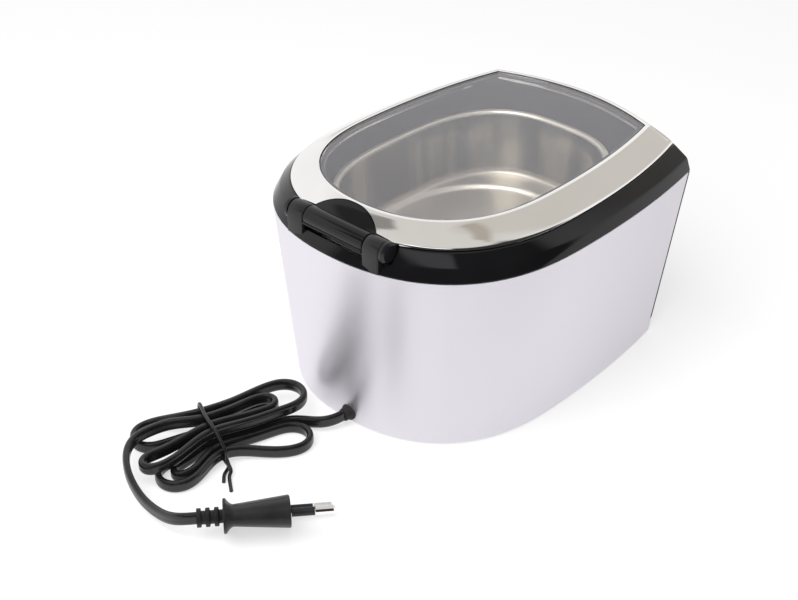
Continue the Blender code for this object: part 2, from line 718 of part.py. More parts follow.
def make_transducer():
    """Stack clamped by one bolt and bonded under the tank floor."""
    top = FLOOR_Z - TANK_WALL - GAP
    low = top - HORN_HEIGHT
    centre = (0.0, TANK_Y, 0.0)
    bore = STACK_BORE
    horn = [
        (0.0, top), (HORN_RADIUS, top), (HORN_RADIUS, top - 0.0030), (STACK_RADIUS, low),
        (bore, low), (bore, top - 0.0050), (0.0, top - 0.0050),
    ]
    finish(turned("transducer_horn", horn, centre), "aluminium")
    rows = (
        ("piezo_upper", PIEZO_HEIGHT, "ceramic"),
        ("electrode", ELECTRODE_HEIGHT, "copper"),
        ("piezo_lower", PIEZO_HEIGHT, "ceramic"),
        ("back_mass", BACK_HEIGHT, "steel"),
    )
    for name, height, kind in rows:
        high = low - GAP
        low = high - height
        section = [(bore, high), (STACK_RADIUS, high), (STACK_RADIUS, low), (bore, low)]
        finish(turned(name, section, centre, ring=True), kind)
    head = low - GAP
    bolt = [
        (0.0, top - 0.0060), (BOLT_RADIUS, top - 0.0060), (BOLT_RADIUS, head),
        (2 * BOLT_RADIUS, head), (2 * BOLT_RADIUS, head - 0.0040), (0.0, head - 0.0040),
    ]
    finish(turned("stack_bolt", bolt, centre), "steel")


def driver_middle():
    """Centre of the driver board on the base plate, set back from the inside of the front."""
    inside = shell_inside(FOOT)
    reach = WAIST_Y - inside.corner
    return Vector((0.0, reach + DRIVER_FRONT + DRIVER_SIZE[1] / 2 - 0.0060, BASE_TOP + STANDOFF_HEIGHT))


def standoffs():
    middle = driver_middle()
    half_x = DRIVER_SIZE[0] / 2 - STANDOFF_INSET
    half_y = DRIVER_SIZE[1] / 2 - STANDOFF_INSET
    return [(middle.x + sx * half_x, middle.y + sy * half_y) for sx in (-1, 1) for sy in (-1, 1)]


def make_driver():
    """Power board on its stand-offs with transformer, coil, capacitor, fuse and finned heat sink."""
    middle = driver_middle()
    low = middle.z
    board = box("driver_board", (*DRIVER_SIZE, BOARD_THICKNESS), middle + Vector((0, 0, BOARD_THICKNESS / 2)))
    finish(board, "board")
    top = low + BOARD_THICKNESS
    seat = top + GAP
    for number, (x, y) in enumerate(standoffs()):
        cut(board, cylinder(f"board_hole_{number}", SCREW_RADIUS + GAP, 0.02, (x, y, low), sides=12))
        screw(f"board_screw_{number + 1}", (x, y, seat), STANDOFF_HEIGHT / 2 + BOARD_THICKNESS / 2, head_up=True)

    def spot(share):
        return middle.x + share[0] * DRIVER_SIZE[0], middle.y + share[1] * DRIVER_SIZE[1]

    def stand(name, size, share, kind):
        piece = finish(box(name, size, (*spot(share), seat + size[2] / 2)), kind)
        round_edges(piece, 0.0008, 1)

    stand("transformer", TRANSFORMER_SIZE, TRANSFORMER_SPOT, "dark_plastic")
    stand("fuse_holder", FUSE_SIZE, FUSE_SPOT, "grey_plastic")
    coil_at = (*spot(COIL_SPOT), seat)
    inner = COIL_RADIUS * 0.45
    section = [(inner, COIL_HEIGHT), (COIL_RADIUS, COIL_HEIGHT), (COIL_RADIUS, 0.0), (inner, 0.0)]
    finish(turned("choke_coil", section, coil_at, ring=True), "copper")
    can = [
        (0.0, CAPACITOR_HEIGHT), (CAPACITOR_RADIUS - 0.0008, CAPACITOR_HEIGHT),
        (CAPACITOR_RADIUS, CAPACITOR_HEIGHT - 0.0008), (CAPACITOR_RADIUS, 0.0), (0.0, 0.0),
    ]
    finish(turned("capacitor", can, (*spot(CAPACITOR_SPOT), seat)), "dark_plastic")
    sink_x = spot(TRANSFORMER_SPOT)[0] + TRANSFORMER_SIZE[0] / 2 + SINK_GAP + SINK_SIZE[1] / 2
    finish(heat_sink("heat_sink", (sink_x, middle.y, seat)), "aluminium")


def heat_sink(name, centre):
    """Comb outline pushed up: a spine along Y with fins towards +X."""
    length, depth, height = SINK_SIZE
    spine = 0.0030
    fin = length / (2 * SINK_FINS - 1)
    points = [(-depth / 2, length / 2), (-depth / 2, -length / 2)]
    for number in range(SINK_FINS):
        low = -length / 2 + 2 * number * fin
        points += [(depth / 2, low), (depth / 2, low + fin)]
        if number < SINK_FINS - 1:
            points += [(spine - depth / 2, low + fin), (spine - depth / 2, low + 2 * fin)]
    rings = [np.array([(centre[0] + x, centre[1] + y, centre[2] + z) for x, y in points]) for z in (0.0, height)]
    return lofted(name, rings)


def make_controls():
    """Fascia with its display and three sprung buttons, and the board behind that carries their switches."""
    panel = front_slab("front_panel", FASCIA_SILL, SHELL_TOP - GAP, 0.0, FASCIA_THICKNESS, 0.0)
    finish(panel, "gloss_black")
    face = front_y(shell_level(DISPLAY_HEIGHT), 0.0)
    width, height = DISPLAY_SIZE
    opening = (width + 2 * GAP, 0.02, height + 2 * GAP)
    cut(panel, box("display_opening", opening, (0.0, face, DISPLAY_HEIGHT)))
    half_lean = abs(front_y(shell_level(DISPLAY_HEIGHT + height / 2), 0.0) - face)
    lens_low = face + half_lean
    lens = box("display_lens", (width, LENS_THICKNESS, height), (0.0, lens_low + LENS_THICKNESS / 2, DISPLAY_HEIGHT))
    finish(lens, "smoked")
    board_y = control_board_y()
    module_low = lens_low + LENS_THICKNESS + GAP
    module_depth = board_y - GAP - module_low
    module_at = (0.0, module_low + module_depth / 2, DISPLAY_HEIGHT)
    finish(box("display_module", (width, module_depth, height), module_at), "dark_plastic")
    low = BUTTON_HEIGHT - CONTROL_MARGIN
    high = DISPLAY_HEIGHT + CONTROL_MARGIN
    size = (2 * (BUTTON_PITCH + CONTROL_MARGIN) - 2 * SLIDE_GAP, BOARD_THICKNESS, high - low - 2 * SLIDE_GAP)
    board = box("control_board", size, (0.0, board_y + BOARD_THICKNESS / 2, (low + high) / 2))
    finish(board, "board")
    for number, word in ((-1, "on"), (0, "set"), (1, "off")):
        make_button(panel, word, number * BUTTON_PITCH, board_y)


def control_board_y():
    """The board stands behind the buttons' flanges, clear of them at full travel."""
    face = front_y(shell_level(BUTTON_HEIGHT), BUTTON_PITCH)
    return face + FASCIA_THICKNESS + FLANGE_ROOM + BOARD_SETBACK


def make_button(panel, word, x, board_y):
    face = front_y(shell_level(BUTTON_HEIGHT), x)
    cut(panel, cylinder(f"button_hole_{word}", BUTTON_RADIUS + GAP, 0.02, (x, face, BUTTON_HEIGHT), "Y", 24))
    length = BUTTON_PROUD + FASCIA_THICKNESS + FLANGE_ROOM + BUTTON_FLANGE
    flange = BUTTON_RADIUS + BUTTON_FLANGE
    profile = [
        (0.0, length),
        (flange, length),
        (flange, length - BUTTON_FLANGE),
        (BUTTON_RADIUS, length - BUTTON_FLANGE),
        (BUTTON_RADIUS, 0.0004),
        (BUTTON_RADIUS - 0.0004, 0.0),
        (0.0, 0.0),
    ]
    front = face - BUTTON_PROUD
    button = turned(f"button_{word}", profile, (x, front, BUTTON_HEIGHT), "Y")
    finish(button, "grey_plastic")
    low = front + length + BUTTON_TRAVEL + GAP
    depth = board_y - GAP - low
    size = (SWITCH_SIZE, depth, SWITCH_SIZE)
    switch = box(f"switch_{word}", size, (x, low + depth / 2, BUTTON_HEIGHT))
    finish(switch, "dark_plastic")


def smooth_route(points, step):
    """Catmull-Rom curve through hand-picked points, resampled at even steps."""
    points = np.array(points, dtype=float)
    ends = np.concatenate([2 * points[:1] - points[1:2], points, 2 * points[-1:] - points[-2:-1]])
    share = np.linspace(0.0, 1.0, 24, endpoint=False)[:, None]
    pieces = []
    for p0, p1, p2, p3 in zip(ends, ends[1:], ends[2:], ends[3:]):
        bend = 2 * p0 - 5 * p1 + 4 * p2 - p3
        twist = 3 * p1 - p0 - 3 * p2 + p3
        pieces.append(p1 + 0.5 * ((p2 - p0) * share + bend * share**2 + twist * share**3))
    dense = np.concatenate(pieces + [points[-1:]])
    length = np.concatenate([[0.0], np.cumsum(np.linalg.norm(np.diff(dense, axis=0), axis=1))])
    count = max(3, round(length[-1] / step) + 1)
    marks = np.linspace(0.0, length[-1], count)
    return np.stack([np.interp(marks, length, dense[:, i]) for i in range(3)], axis=1)


def straight_ended(points):
    """Route whose first and last stretch stay straight, square to what they meet."""
    return np.concatenate([points[:1], smooth_route(points[1:-1], CORD_STEP), points[-1:]])


def cord_profile():
    """Flat twin section with rounded narrow edges, wide way up."""
    wide = CORD_WIDTH / 2
    thick = CORD_THICKNESS / 2
    quarter = [(thick * 0.45, wide), (thick, wide * 0.72)]
    outline = quarter + [(x, -y) for x, y in reversed(quarter)]
    return outline + [(-x, y) for x, y in reversed(outline)]


def cord_section():
    curve = bpy.data.curves.new("cord_section", "CURVE")
    outline = cord_profile()
    spline = curve.splines.new("POLY")
    spline.points.add(len(outline) - 1)
    for point, (x, y) in zip(spline.points, outline):
        point.co = (x, y, 0.0, 1.0)
    spline.use_cyclic_u = True
    guide = bpy.data.objects.new("cord_section", curve)
    CUTTERS.objects.link(guide)
    guide.hide_render = True
    guide.display_type = "WIRE"
    return guide


def tube(name, route, section=None, radius=0.0):
    """Curve through the route, with a flat section or a round one."""
    curve = bpy.data.curves.new(name, "CURVE")
    curve.dimensions = "3D"
    curve.twist_mode = "Z_UP"
    curve.use_fill_caps = True
    spline = curve.splines.new("POLY")
    spline.points.add(len(route) - 1)
    for point, place in zip(spline.points, route):
        point.co = (*place, 1.0)
    if section:
        curve.bevel_mode = "OBJECT"
        curve.bevel_object = section
    else:
        curve.bevel_depth = radius
        curve.bevel_resolution = 1
    return finish(add_object(name, curve), "cord_black")


def on_floor(along, across, z):
    """Hank coordinates to the shared frame."""
    x = HANK_MIDDLE[0] + along * math.cos(HANK_ANGLE) + across * math.sin(HANK_ANGLE)
    y = HANK_MIDDLE[1] + along * math.sin(HANK_ANGLE) - across * math.cos(HANK_ANGLE)
    return np.stack([x, y, z], axis=-1)


def half_run(start, end, steps):
    """From one (along, across, layer) to another, level with the hank at both ends; the start is left out."""
    share = np.linspace(0.0, 1.0, steps + 1)[1:, None]
    ease = (1 - np.cos(math.pi * share)) / 2
    start = np.array(start)
    end = np.array(end)
    return np.concatenate([start[:1] + (end - start)[:1] * share, start[1:] + (end - start)[1:] * ease], axis=1)


def fold(along, across, radius, layer, side):
    """Half circle round a fold's middle, away from the waist, from one side of it to the other."""
    turn = np.linspace(0.0, math.pi, FOLD_STEPS + 1)
    out = along + math.copysign(radius, along) * np.sin(turn)
    return np.stack([out, across + side * radius * np.cos(turn), np.full(len(turn), float(layer))], axis=1)


def hank_route():
    """Runs that meet at the waist, joined by folds: the lower layer first, then the upper one."""
    pieces = [np.array([(*HANK_START, 0.0)])]
    for number, (slot, layer) in enumerate(HANK_RUNS):
        pieces.append(half_run(pieces[-1][-1], (HANK_WAIST, slot, layer), RUN_STEPS))
        if number < len(HANK_FOLDS):
            along, across, radius, level = HANK_FOLDS[number]
            side = 1 if slot > HANK_RUNS[number + 1][0] else -1
            bend = fold(along, across, radius, level, side)
        else:
            bend = np.array([(*HANK_END, layer)])
        pieces.append(half_run(pieces[-1][-1], bend[0], RUN_STEPS))
        pieces.append(bend[1:])
    along, across, layer = np.concatenate(pieces).T
    hump = HANK_HUMP * np.exp(-(((along - HANK_WAIST) / HANK_HUMP_SPAN) ** 2))
    route = on_floor(along, across, CORD_FLOOR + CORD_WIDTH / 2 + HANK_LAYER * layer + hump)
    lead_in = route[0] + CORD_THICKNESS * unit(route[0] - route[1])
    lead_out = route[-1] + CORD_THICKNESS * unit(route[-1] - route[-2])
    return np.concatenate([[lead_in], route, [lead_out]])


def unit(vector):
    return vector / np.linalg.norm(vector)


def hank_gap(route):
    """Least gap of the hank to itself, between the section's corners at close points of the route."""
    length = np.concatenate([[0.0], np.cumsum(np.linalg.norm(np.diff(route, axis=0), axis=1))])
    marks = np.arange(0.0, length[-1], 0.001)
    close = np.stack([np.interp(marks, length, route[:, i]) for i in range(3)], axis=1)
    heading = np.gradient(close, axis=0)
    side = np.stack([heading[:, 1], -heading[:, 0]], axis=1)
    side = side / np.linalg.norm(side, axis=1)[:, None]
    shapes = []
    for x, y in cord_profile():
        shapes.append(np.concatenate([close[:, :2] + side * x, close[:, 2:] + y], axis=1))
    corners = np.stack(shapes, axis=1)
    least = math.inf
    apart = round(4 * CORD_THICKNESS / 0.001)
    for number in range(len(close) - apart):
        others = corners[number + apart:].reshape(-1, 3)
        distance = np.linalg.norm(corners[number][:, None] - others[None], axis=2)
        least = min(least, distance.min())
    return least


def make_cord():
    """Gland, lead, tied hank and tail, which ends at the plug's boot."""
    section = cord_section()
    nose = GLAND_RADIUS - 0.0004
    inside = SHELL_WALL + 0.0012
    gland = [
        (0.0, GLAND_NOSE), (nose - 0.0006, GLAND_NOSE), (nose, 0.0004), (GLAND_RADIUS, 0.0),
        (GLAND_RADIUS, -inside), (GLAND_RADIUS + 0.0016, -inside), (GLAND_RADIUS + 0.0016, -inside - 0.0020),
        (0.0, -inside - 0.0020),
    ]
    finish(turned("cord_gland", gland, (GLAND_X, GLAND_Y, GLAND_HEIGHT), "Y"), "rubber")
    hank = hank_route()
    print(f"hank: least gap to itself {hank_gap(hank) * 1000:.2f} mm")
    tube("cord_hank", hank, section)
    start = np.array((GLAND_X, GLAND_Y + GLAND_NOSE + GAP, GLAND_HEIGHT))
    into = unit(hank[1] - hank[0])
    lead = [
        start,
        start + (0.0, CORD_THICKNESS, 0.0),
        *(on_floor(*point) for point in LEAD_POINTS),
        hank[0] - (GAP + 0.0010) * into,
        hank[0] - GAP * into,
    ]
    lead = straight_ended(lead)
    tube("cord_lead", lead, section)
    away = unit(hank[-1] - hank[-2])
    heading = plug_axes()[0]
    boot = np.array((*PLUG_START, plug_height()))
    tail = [
        hank[-1] + GAP * away,
        hank[-1] + (GAP + 0.0020) * away,
        *(on_floor(*point) for point in TAIL_POINTS),
        boot - 0.0060 * heading,
        boot - GAP * heading,
    ]
    tail = straight_ended(tail)
    tube("cord_tail", tail, section)
    total = sum(np.linalg.norm(np.diff(path, axis=0), axis=1).sum() for path in (lead, hank, tail))
    print(f"cord: {total:.3f} m from gland to plug")
    make_tie()
    make_plug()


def make_tie():
    """Twist tie: one wire from a tail under the hank's waist, up its far side, over it and down to a second tail."""
    side = CORD_THICKNESS / 2 + TIE_ROOM + TIE_RADIUS
    slots = [slot for slot, _ in HANK_RUNS]
    layers = [[slot for slot, layer in HANK_RUNS if layer == level] for level in (0, 1)]
    near = min(slots) - side
    low = TIE_RADIUS + CORD_FLOOR
    lower_top = CORD_FLOOR + CORD_WIDTH + HANK_HUMP
    high = lower_top + HANK_LAYER + TIE_ROOM + TIE_RADIUS
    lower_far = max(layers[0]) + side
    upper_near = min(layers[1]) - side
    upper_far = max(layers[1]) + side
    at = HANK_WAIST
    path = [
        (at + 0.0068, near - 0.0108, low),
        (at + 0.0044, near - 0.0062, low),
        (at + 0.0004, near - 0.0018, low),
        (at, near + 0.0030, low),
        (at, 0.0, low),
        (at - 0.0002, lower_far - 0.0008, low),
        (at - 0.0002, lower_far + 0.0014, low + 0.0018),
        (at - 0.0002, upper_far - 0.0002, lower_top),
        (at, upper_far + 0.0002, high - 0.0024),
        (at + 0.0004, upper_far - 0.0024, high),
        (at + 0.0018, 0.0040, high + 0.0003),
        (at + 0.0020, upper_near + 0.0018, high),
        (at + 0.0016, upper_near - 0.0020, high - 0.0016),
        (at + 0.0008, near - 0.0002, lower_top + 0.0006),
        (at + 0.0004, near - 0.0003, low + 0.0036),
        (at + 0.0006, near - 0.0018, low + 0.0026),
        (at + 0.0014, near - 0.0070, low + 0.0018),
        (at + 0.0033, near - 0.0094, low + 0.0003),
        (at + 0.0064, near - 0.0184, low),
    ]
    route = smooth_route([on_floor(*point) for point in path], 0.0030)
    tube("cord_tie", route, radius=TIE_RADIUS)


def plug_axes():
    """Unit vectors of the plug: along its pins, across both pins, and through its thickness."""
    along = np.array((math.cos(PLUG_HEADING), math.sin(PLUG_HEADING), 0.0))
    level = np.array((along[1], -along[0], 0.0))
    up = np.array((0.0, 0.0, 1.0))
    wide = level * math.cos(PLUG_TILT) + up * math.sin(PLUG_TILT)
    return along, wide, np.cross(along, wide)


def plug_stations():
    """Distance along the plug and half sizes of its section: ribbed boot, flared flange, tapered body."""
    rows = []
    rib = BOOT_LENGTH / (2 * BOOT_RIBS)
    for number in range(BOOT_RIBS):
        start = 2 * number * rib
        rows += [(start, BOOT_HALF, BOOT_HALF), (start + rib, BOOT_HALF, BOOT_HALF)]
        rows += [(start + rib + 0.0002, BOOT_GROOVE, BOOT_GROOVE), (start + 2 * rib - 0.0002, BOOT_GROOVE, BOOT_GROOVE)]
    flange = BOOT_LENGTH + FLANGE_LENGTH
    rows += [(BOOT_LENGTH, *FLANGE_HALF), (BOOT_LENGTH + 0.0012, *FLANGE_HALF), (flange, *NECK_HALF)]
    end = flange + PLUG_BODY_LENGTH
    rows += [(end - 0.0008, *FACE_HALF), (end, FACE_HALF[0] - 0.0006, FACE_HALF[1] - 0.0006)]
    return rows


def plug_ring(wide_half, thin_half):
    """Rounded section about the plug's axis."""
    _, wide, thin = plug_axes()
    turn = np.linspace(0.0, 2 * math.pi, 20, endpoint=False)
    across = np.sign(np.cos(turn)) * np.abs(np.cos(turn)) ** (2 / PLUG_POWER) * wide_half
    through = np.sign(np.sin(turn)) * np.abs(np.sin(turn)) ** (2 / PLUG_POWER) * thin_half
    return across[:, None] * wide + through[:, None] * thin


def plug_height():
    """Axis height at which the tilted plug touches the floor."""
    lowest = min(plug_ring(wide, thin)[:, 2].min() for _, wide, thin in plug_stations())
    return CORD_FLOOR - lowest


def make_plug():
    """Flat two-pin plug: moulded body with boot and flange, and two sleeved pins."""
    along, wide, _ = plug_axes()
    start = np.array((*PLUG_START, plug_height()))
    rings = [start + along * place + plug_ring(w, t) for place, w, t in plug_stations()]
    finish(lofted("plug_body", rings), "cord_black")
    face = plug_stations()[-1][0]
    turn = Vector(along).to_track_quat("Z", "Y").to_euler()
    for side, word in ((-1, "far"), (1, "near")):
        root = start + along * (face + GAP) + wide * side * PIN_SPACING / 2
        middle = root + along * SLEEVE_LENGTH / 2
        sleeve = cylinder(f"plug_sleeve_{word}", SLEEVE_RADIUS, SLEEVE_LENGTH, middle, sides=16)
        sleeve.rotation_euler = turn
        finish(sleeve, "cord_black")
        foot = root + along * (SLEEVE_LENGTH + GAP)
        tip = [
            (0.0, PIN_TIP_LENGTH), (PLUG_PIN_RADIUS * 0.5, PIN_TIP_LENGTH - 0.0002),
            (PLUG_PIN_RADIUS, PIN_TIP_LENGTH - 0.0012), (PLUG_PIN_RADIUS, 0.0), (0.0, 0.0),
        ]
        pin = turned(f"plug_pin_{word}", tip, foot, steps=16)
        pin.rotation_euler = turn
        finish(pin, "chrome")


def main():
    make_body_shell()
    make_base()
    make_bezel()
    lid = make_lid()
    leaf = make_hinge()
    hinge_axis = bpy.data.objects.new("lid_hinge_axis", None)
    hinge_axis.location = (0.0, HINGE_Y, HINGE_Z)
    PARTS.objects.link(hinge_axis)
    hang_on(hinge_axis, *lid, leaf)
    make_tank()
    make_transducer()
    make_driver()
    make_controls()
    make_cord()
    print(f"lid hinge axis y {HINGE_Y:.5f} z {HINGE_Z:.5f}")


main()
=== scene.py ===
import math

import bmesh
import bpy
import numpy as np
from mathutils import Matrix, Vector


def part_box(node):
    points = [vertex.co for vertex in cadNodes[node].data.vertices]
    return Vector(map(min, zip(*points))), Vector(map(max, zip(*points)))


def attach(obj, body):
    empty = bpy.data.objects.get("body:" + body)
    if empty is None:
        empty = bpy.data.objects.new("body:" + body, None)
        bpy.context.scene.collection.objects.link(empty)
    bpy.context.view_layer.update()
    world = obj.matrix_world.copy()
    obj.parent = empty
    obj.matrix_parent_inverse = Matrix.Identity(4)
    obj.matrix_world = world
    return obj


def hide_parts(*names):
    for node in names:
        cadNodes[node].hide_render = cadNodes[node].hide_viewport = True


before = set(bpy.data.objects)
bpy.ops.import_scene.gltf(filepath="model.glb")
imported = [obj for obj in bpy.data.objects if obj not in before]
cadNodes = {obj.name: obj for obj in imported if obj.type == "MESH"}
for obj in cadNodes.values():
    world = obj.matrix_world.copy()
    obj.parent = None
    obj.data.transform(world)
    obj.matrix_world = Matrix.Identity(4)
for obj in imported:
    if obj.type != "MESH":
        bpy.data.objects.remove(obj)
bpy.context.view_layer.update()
bpy.context.scene.view_settings.view_transform = "Standard"
print("frame loaded:", len(cadNodes), "nodes")

# camera: where it stands, where it looks and which way is up in the picture
view = {
    "place": (-0.41794, 0.49645, 0.43881),
    "ahead": (0.57717, -0.61527, -0.53696),
    "up": (0.37135, -0.38787, 0.84360),
    "lens": 67.22,
    "sensor": 36.0,
    "nearest": 0.01,
}


def placeCamera():
    ahead = np.array(view["ahead"])
    right = np.cross(ahead, view["up"])
    turn = np.eye(4)
    turn[:3, :3] = np.stack([right, np.cross(right, ahead), -ahead], axis=1)
    turn[:3, 3] = view["place"]
    data = bpy.data.cameras.new("viewer")
    data.lens = view["lens"]
    data.sensor_width = view["sensor"]
    data.sensor_fit = "HORIZONTAL"
    data.clip_start = view["nearest"]
    viewer = bpy.data.objects.new("viewer", data)
    viewer.matrix_world = turn.T
    bpy.context.scene.collection.objects.link(viewer)
    bpy.context.scene.camera = viewer


placeCamera()
print("camera placed")


# one output of a node tree: arithmetic on it adds Math nodes, and node() adds any other node
class Wire:
    def __init__(self, tree, out=None):
        self.tree = tree
        self.out = out

    def node(self, kind, settings=None, sockets=None, out=0):
        made = self.tree.nodes.new("ShaderNode" + kind)
        for name, value in (settings or {}).items():
            setattr(made, name, value)
        for name, value in (sockets or {}).items():
            if isinstance(value, Wire):
                self.tree.links.new(value.out, made.inputs[name])
            else:
                made.inputs[name].default_value = value
        return Wire(self.tree, made.outputs[out] if len(made.outputs) else None)

    def maths(self, operation, *values):
        return self.node("Math", {"operation": operation}, dict(enumerate(values)))

    def __add__(self, other):
        return self.maths("ADD", self, other)

    def __sub__(self, other):
        return self.maths("SUBTRACT", self, other)

    def __rsub__(self, other):
        return self.maths("SUBTRACT", other, self)

    def __mul__(self, other):
        return self.maths("MULTIPLY", self, other)

    __radd__ = __add__
    __rmul__ = __mul__

    # 0 below low, 1 above high, with a soft change between them
    def rising(self, low, high):
        settings = {"interpolation_type": "SMOOTHSTEP"}
        return self.node("MapRange", settings, {"Value": self, "From Min": low, "From Max": high})

    # this value chooses between two colours
    def choose(self, first, second):
        sockets = {0: self, 6: first, 7: second}
        return self.node("Mix", {"data_type": "RGBA"}, sockets, out=2)

    # noise read at this vector, stretched by a scale for each axis
    def noise(self, scale, stretch=(1.0, 1.0, 1.0), detail=2.0):
        place = self.node("Mapping", {}, {"Vector": self, "Scale": stretch})
        return self.node("TexNoise", {}, {"Vector": place, "Scale": scale, "Detail": detail})

    # broad noise that roughness and colour drift by
    def clouds(self, scale):
        return self.noise(scale, detail=3.0)

    # small height read as a surface normal
    def bump(self, strength, distance):
        sockets = {"Height": self, "Strength": strength, "Distance": distance}
        return self.node("Bump", {}, sockets, out="Normal")


def rgba(colour):
    return (*colour, 1.0)


def newMaterial(name):
    material = bpy.data.materials.new(name)
    material.use_nodes = True
    material.node_tree.nodes.clear()
    wire = Wire(material.node_tree)
    return material, wire, wire.node("TexCoord", out="Object")


def surfaced(material, wire, sockets):
    shader = wire.node("BsdfPrincipled", {}, sockets)
    wire.node("OutputMaterial", {}, {"Surface": shader})
    return material


# height of the grain on moulded pieces and of the finer grain on paint and drawn steel, middle of a noise,
# and where on it the colour drifts
noiseLook = {"mouldedGrain": 0.0003, "fineGrain": 0.0002, "middle": 0.5, "drift": (0.25, 0.75)}


# roughness spread about a value by a broad noise
def cloudy(rough, look, cloud):
    return rough + look["roughSpread"] * (cloud - noiseLook["middle"])


# finish that most pieces share: colour drifts a little, roughness is cloudy, and a grain stands on it
def grained(name, look):
    material, wire, place = newMaterial(name)
    cloud = place.clouds(look["cloudScale"])
    grain = place.noise(look["grainScale"])
    sockets = {
        "Base Color": cloud.rising(*noiseLook["drift"]).choose(rgba(look["colour"]), rgba(look["drift"])),
        "Roughness": cloudy(look["rough"], look, cloud),
        "Metallic": look.get("metal", 0.0),
        "Normal": grain.bump(look["grain"], noiseLook["mouldedGrain"]),
    }
    sockets.update(look.get("fixed", {}))
    return surfaced(material, wire, sockets)


# silver paint: flakes lie so that reflections smear upwards; painted shade makes the colour deeper towards
# the front, fine grain
def silverPaint(name, look):
    material, wire, place = newMaterial(name)
    cloud = place.clouds(look["cloudScale"])
    grain = place.noise(look["grainScale"], look["grainStretch"])
    along = wire.node("SeparateXYZ", {}, {"Vector": place}, out="Y")
    # painted shade: the colour runs from the darker front colour to the lighter rear one
    paintedShadeFade = along.rising(look["frontY"], look["rearY"])
    return surfaced(material, wire, {
        "Base Color": paintedShadeFade.choose(rgba(look["front"]), rgba(look["rear"])),
        "Roughness": cloudy(look["rough"], look, cloud),
        "Metallic": 1.0,
        "Anisotropic": look["smear"],
        "Anisotropic Rotation": look["smearTurn"],
        "Normal": grain.bump(look["grain"], noiseLook["fineGrain"]),
    })


# painted shade: the front colour is darker than the rear one
satinSilver = silverPaint("satinSilver", {
    "front": (0.705, 0.687, 0.734), "rear": (0.825, 0.804, 0.858), "frontY": -0.080, "rearY": 0.045,
    "rough": 0.43, "roughSpread": 0.05, "smear": 0.70, "smearTurn": 0.25, "cloudScale": 9.0,
    "grain": 0.05, "grainScale": 900.0, "grainStretch": (0.25, 0.25, 1.6),
})
glossBlack = grained("glossBlack", {
    "colour": (0.0045, 0.0045, 0.005), "drift": (0.006, 0.006, 0.0065),
    "rough": 0.08, "roughSpread": 0.05, "cloudScale": 40.0, "grain": 0.03, "grainScale": 180.0,
    "fixed": {"Specular IOR Level": 0.30},
})
satinBlack = grained("satinBlack", {
    "colour": (0.007, 0.007, 0.008), "drift": (0.010, 0.010, 0.011),
    "rough": 0.30, "roughSpread": 0.10, "cloudScale": 60.0, "grain": 0.12, "grainScale": 1500.0,
    "fixed": {"Specular IOR Level": 0.40},
})
chrome = grained("chrome", {
    "colour": (0.86, 0.85, 0.83), "drift": (0.90, 0.89, 0.875), "metal": 1.0,
    "rough": 0.07, "roughSpread": 0.04, "cloudScale": 24.0, "grain": 0.02, "grainScale": 60.0,
})


# tank steel: darker and lighter bands are painted up the walls as reflection streaks, and the walls are
# painted far darker than the bright rim and the duller floor as shade
def paintedStreakSteel(name, look):
    material, wire, place = newMaterial(name)
    cloud = place.clouds(look["cloudScale"])
    paintedStreaks = place.noise(look["bandScale"], (1.0, 1.0, look["bandRise"]))
    grain = place.noise(look["grainScale"], (1.0, 1.0, look["grainRise"]))
    height = wire.node("SeparateXYZ", {}, {"Vector": place}, out="Z")
    walls = height.rising(*look["wallFoot"]) * (1 - height.rising(*look["wallTop"]))
    # painted reflection streaks and painted shade: the banded wall colour stands for reflections and for
    # shade in the tank
    shadedWallColour = paintedStreaks.rising(*look["bandEdge"]).choose(rgba(look["wallShadeDark"]), rgba(look["light"]))
    dull = look["floorRough"] + walls * (look["rough"] - look["floorRough"])
    return surfaced(material, wire, {
        "Base Color": walls.choose(rgba(look["floor"]), shadedWallColour),
        "Roughness": cloudy(dull, look, cloud),
        "Metallic": 1.0,
        "Normal": grain.bump(look["grain"], noiseLook["fineGrain"]),
    })


# the walls' dark and light colours are painted shade and painted reflection streaks, far below the floor
# colour
stainless = paintedStreakSteel("stainless", {
    "wallShadeDark": (0.050, 0.047, 0.038), "light": (0.250, 0.236, 0.196), "floor": (0.88, 0.82, 0.70),
    "bandScale": 48.0, "bandRise": 0.04, "bandEdge": (0.42, 0.60),
    "wallFoot": (0.0655, 0.0700), "wallTop": (0.0980, 0.0992),
    "rough": 0.19, "floorRough": 0.46, "roughSpread": 0.08, "cloudScale": 30.0,
    "grain": 0.05, "grainScale": 420.0, "grainRise": 0.06,
})
rubberBlack = grained("rubberBlack", {
    "colour": (0.014, 0.014, 0.014), "drift": (0.022, 0.022, 0.022),
    "rough": 0.62, "roughSpread": 0.15, "cloudScale": 90.0, "grain": 0.25, "grainScale": 1600.0,
    "fixed": {"Specular IOR Level": 0.30},
})
cordBlack = grained("cordBlack", {
    "colour": (0.006, 0.006, 0.0065), "drift": (0.010, 0.010, 0.0105),
    "rough": 0.22, "roughSpread": 0.12, "cloudScale": 120.0, "grain": 0.12, "grainScale": 1300.0,
    "fixed": {"Specular IOR Level": 0.50},
})
plugBlack = grained("plugBlack", {
    "colour": (0.009, 0.009, 0.0095), "drift": (0.014, 0.014, 0.015),
    "rough": 0.40, "roughSpread": 0.12, "cloudScale": 150.0, "grain": 0.22, "grainScale": 1800.0,
    "fixed": {"Specular IOR Level": 0.30},
})
boardGreen = grained("boardGreen", {
    "colour": (0.020, 0.120, 0.045), "drift": (0.030, 0.150, 0.060),
    "rough": 0.45, "roughSpread": 0.12, "cloudScale": 260.0, "grain": 0.20, "grainScale": 900.0,
})
castAluminium = grained("castAluminium", {
    "colour": (0.70, 0.70, 0.71), "drift": (0.76, 0.76, 0.77), "metal": 1.0,
    "rough": 0.36, "roughSpread": 0.12, "cloudScale": 80.0, "grain": 0.12, "grainScale": 900.0,
})
paleCeramic = grained("paleCeramic", {
    "colour": (0.52, 0.44, 0.31), "drift": (0.60, 0.52, 0.38),
    "rough": 0.58, "roughSpread": 0.12, "cloudScale": 120.0, "grain": 0.18, "grainScale": 1100.0,
})
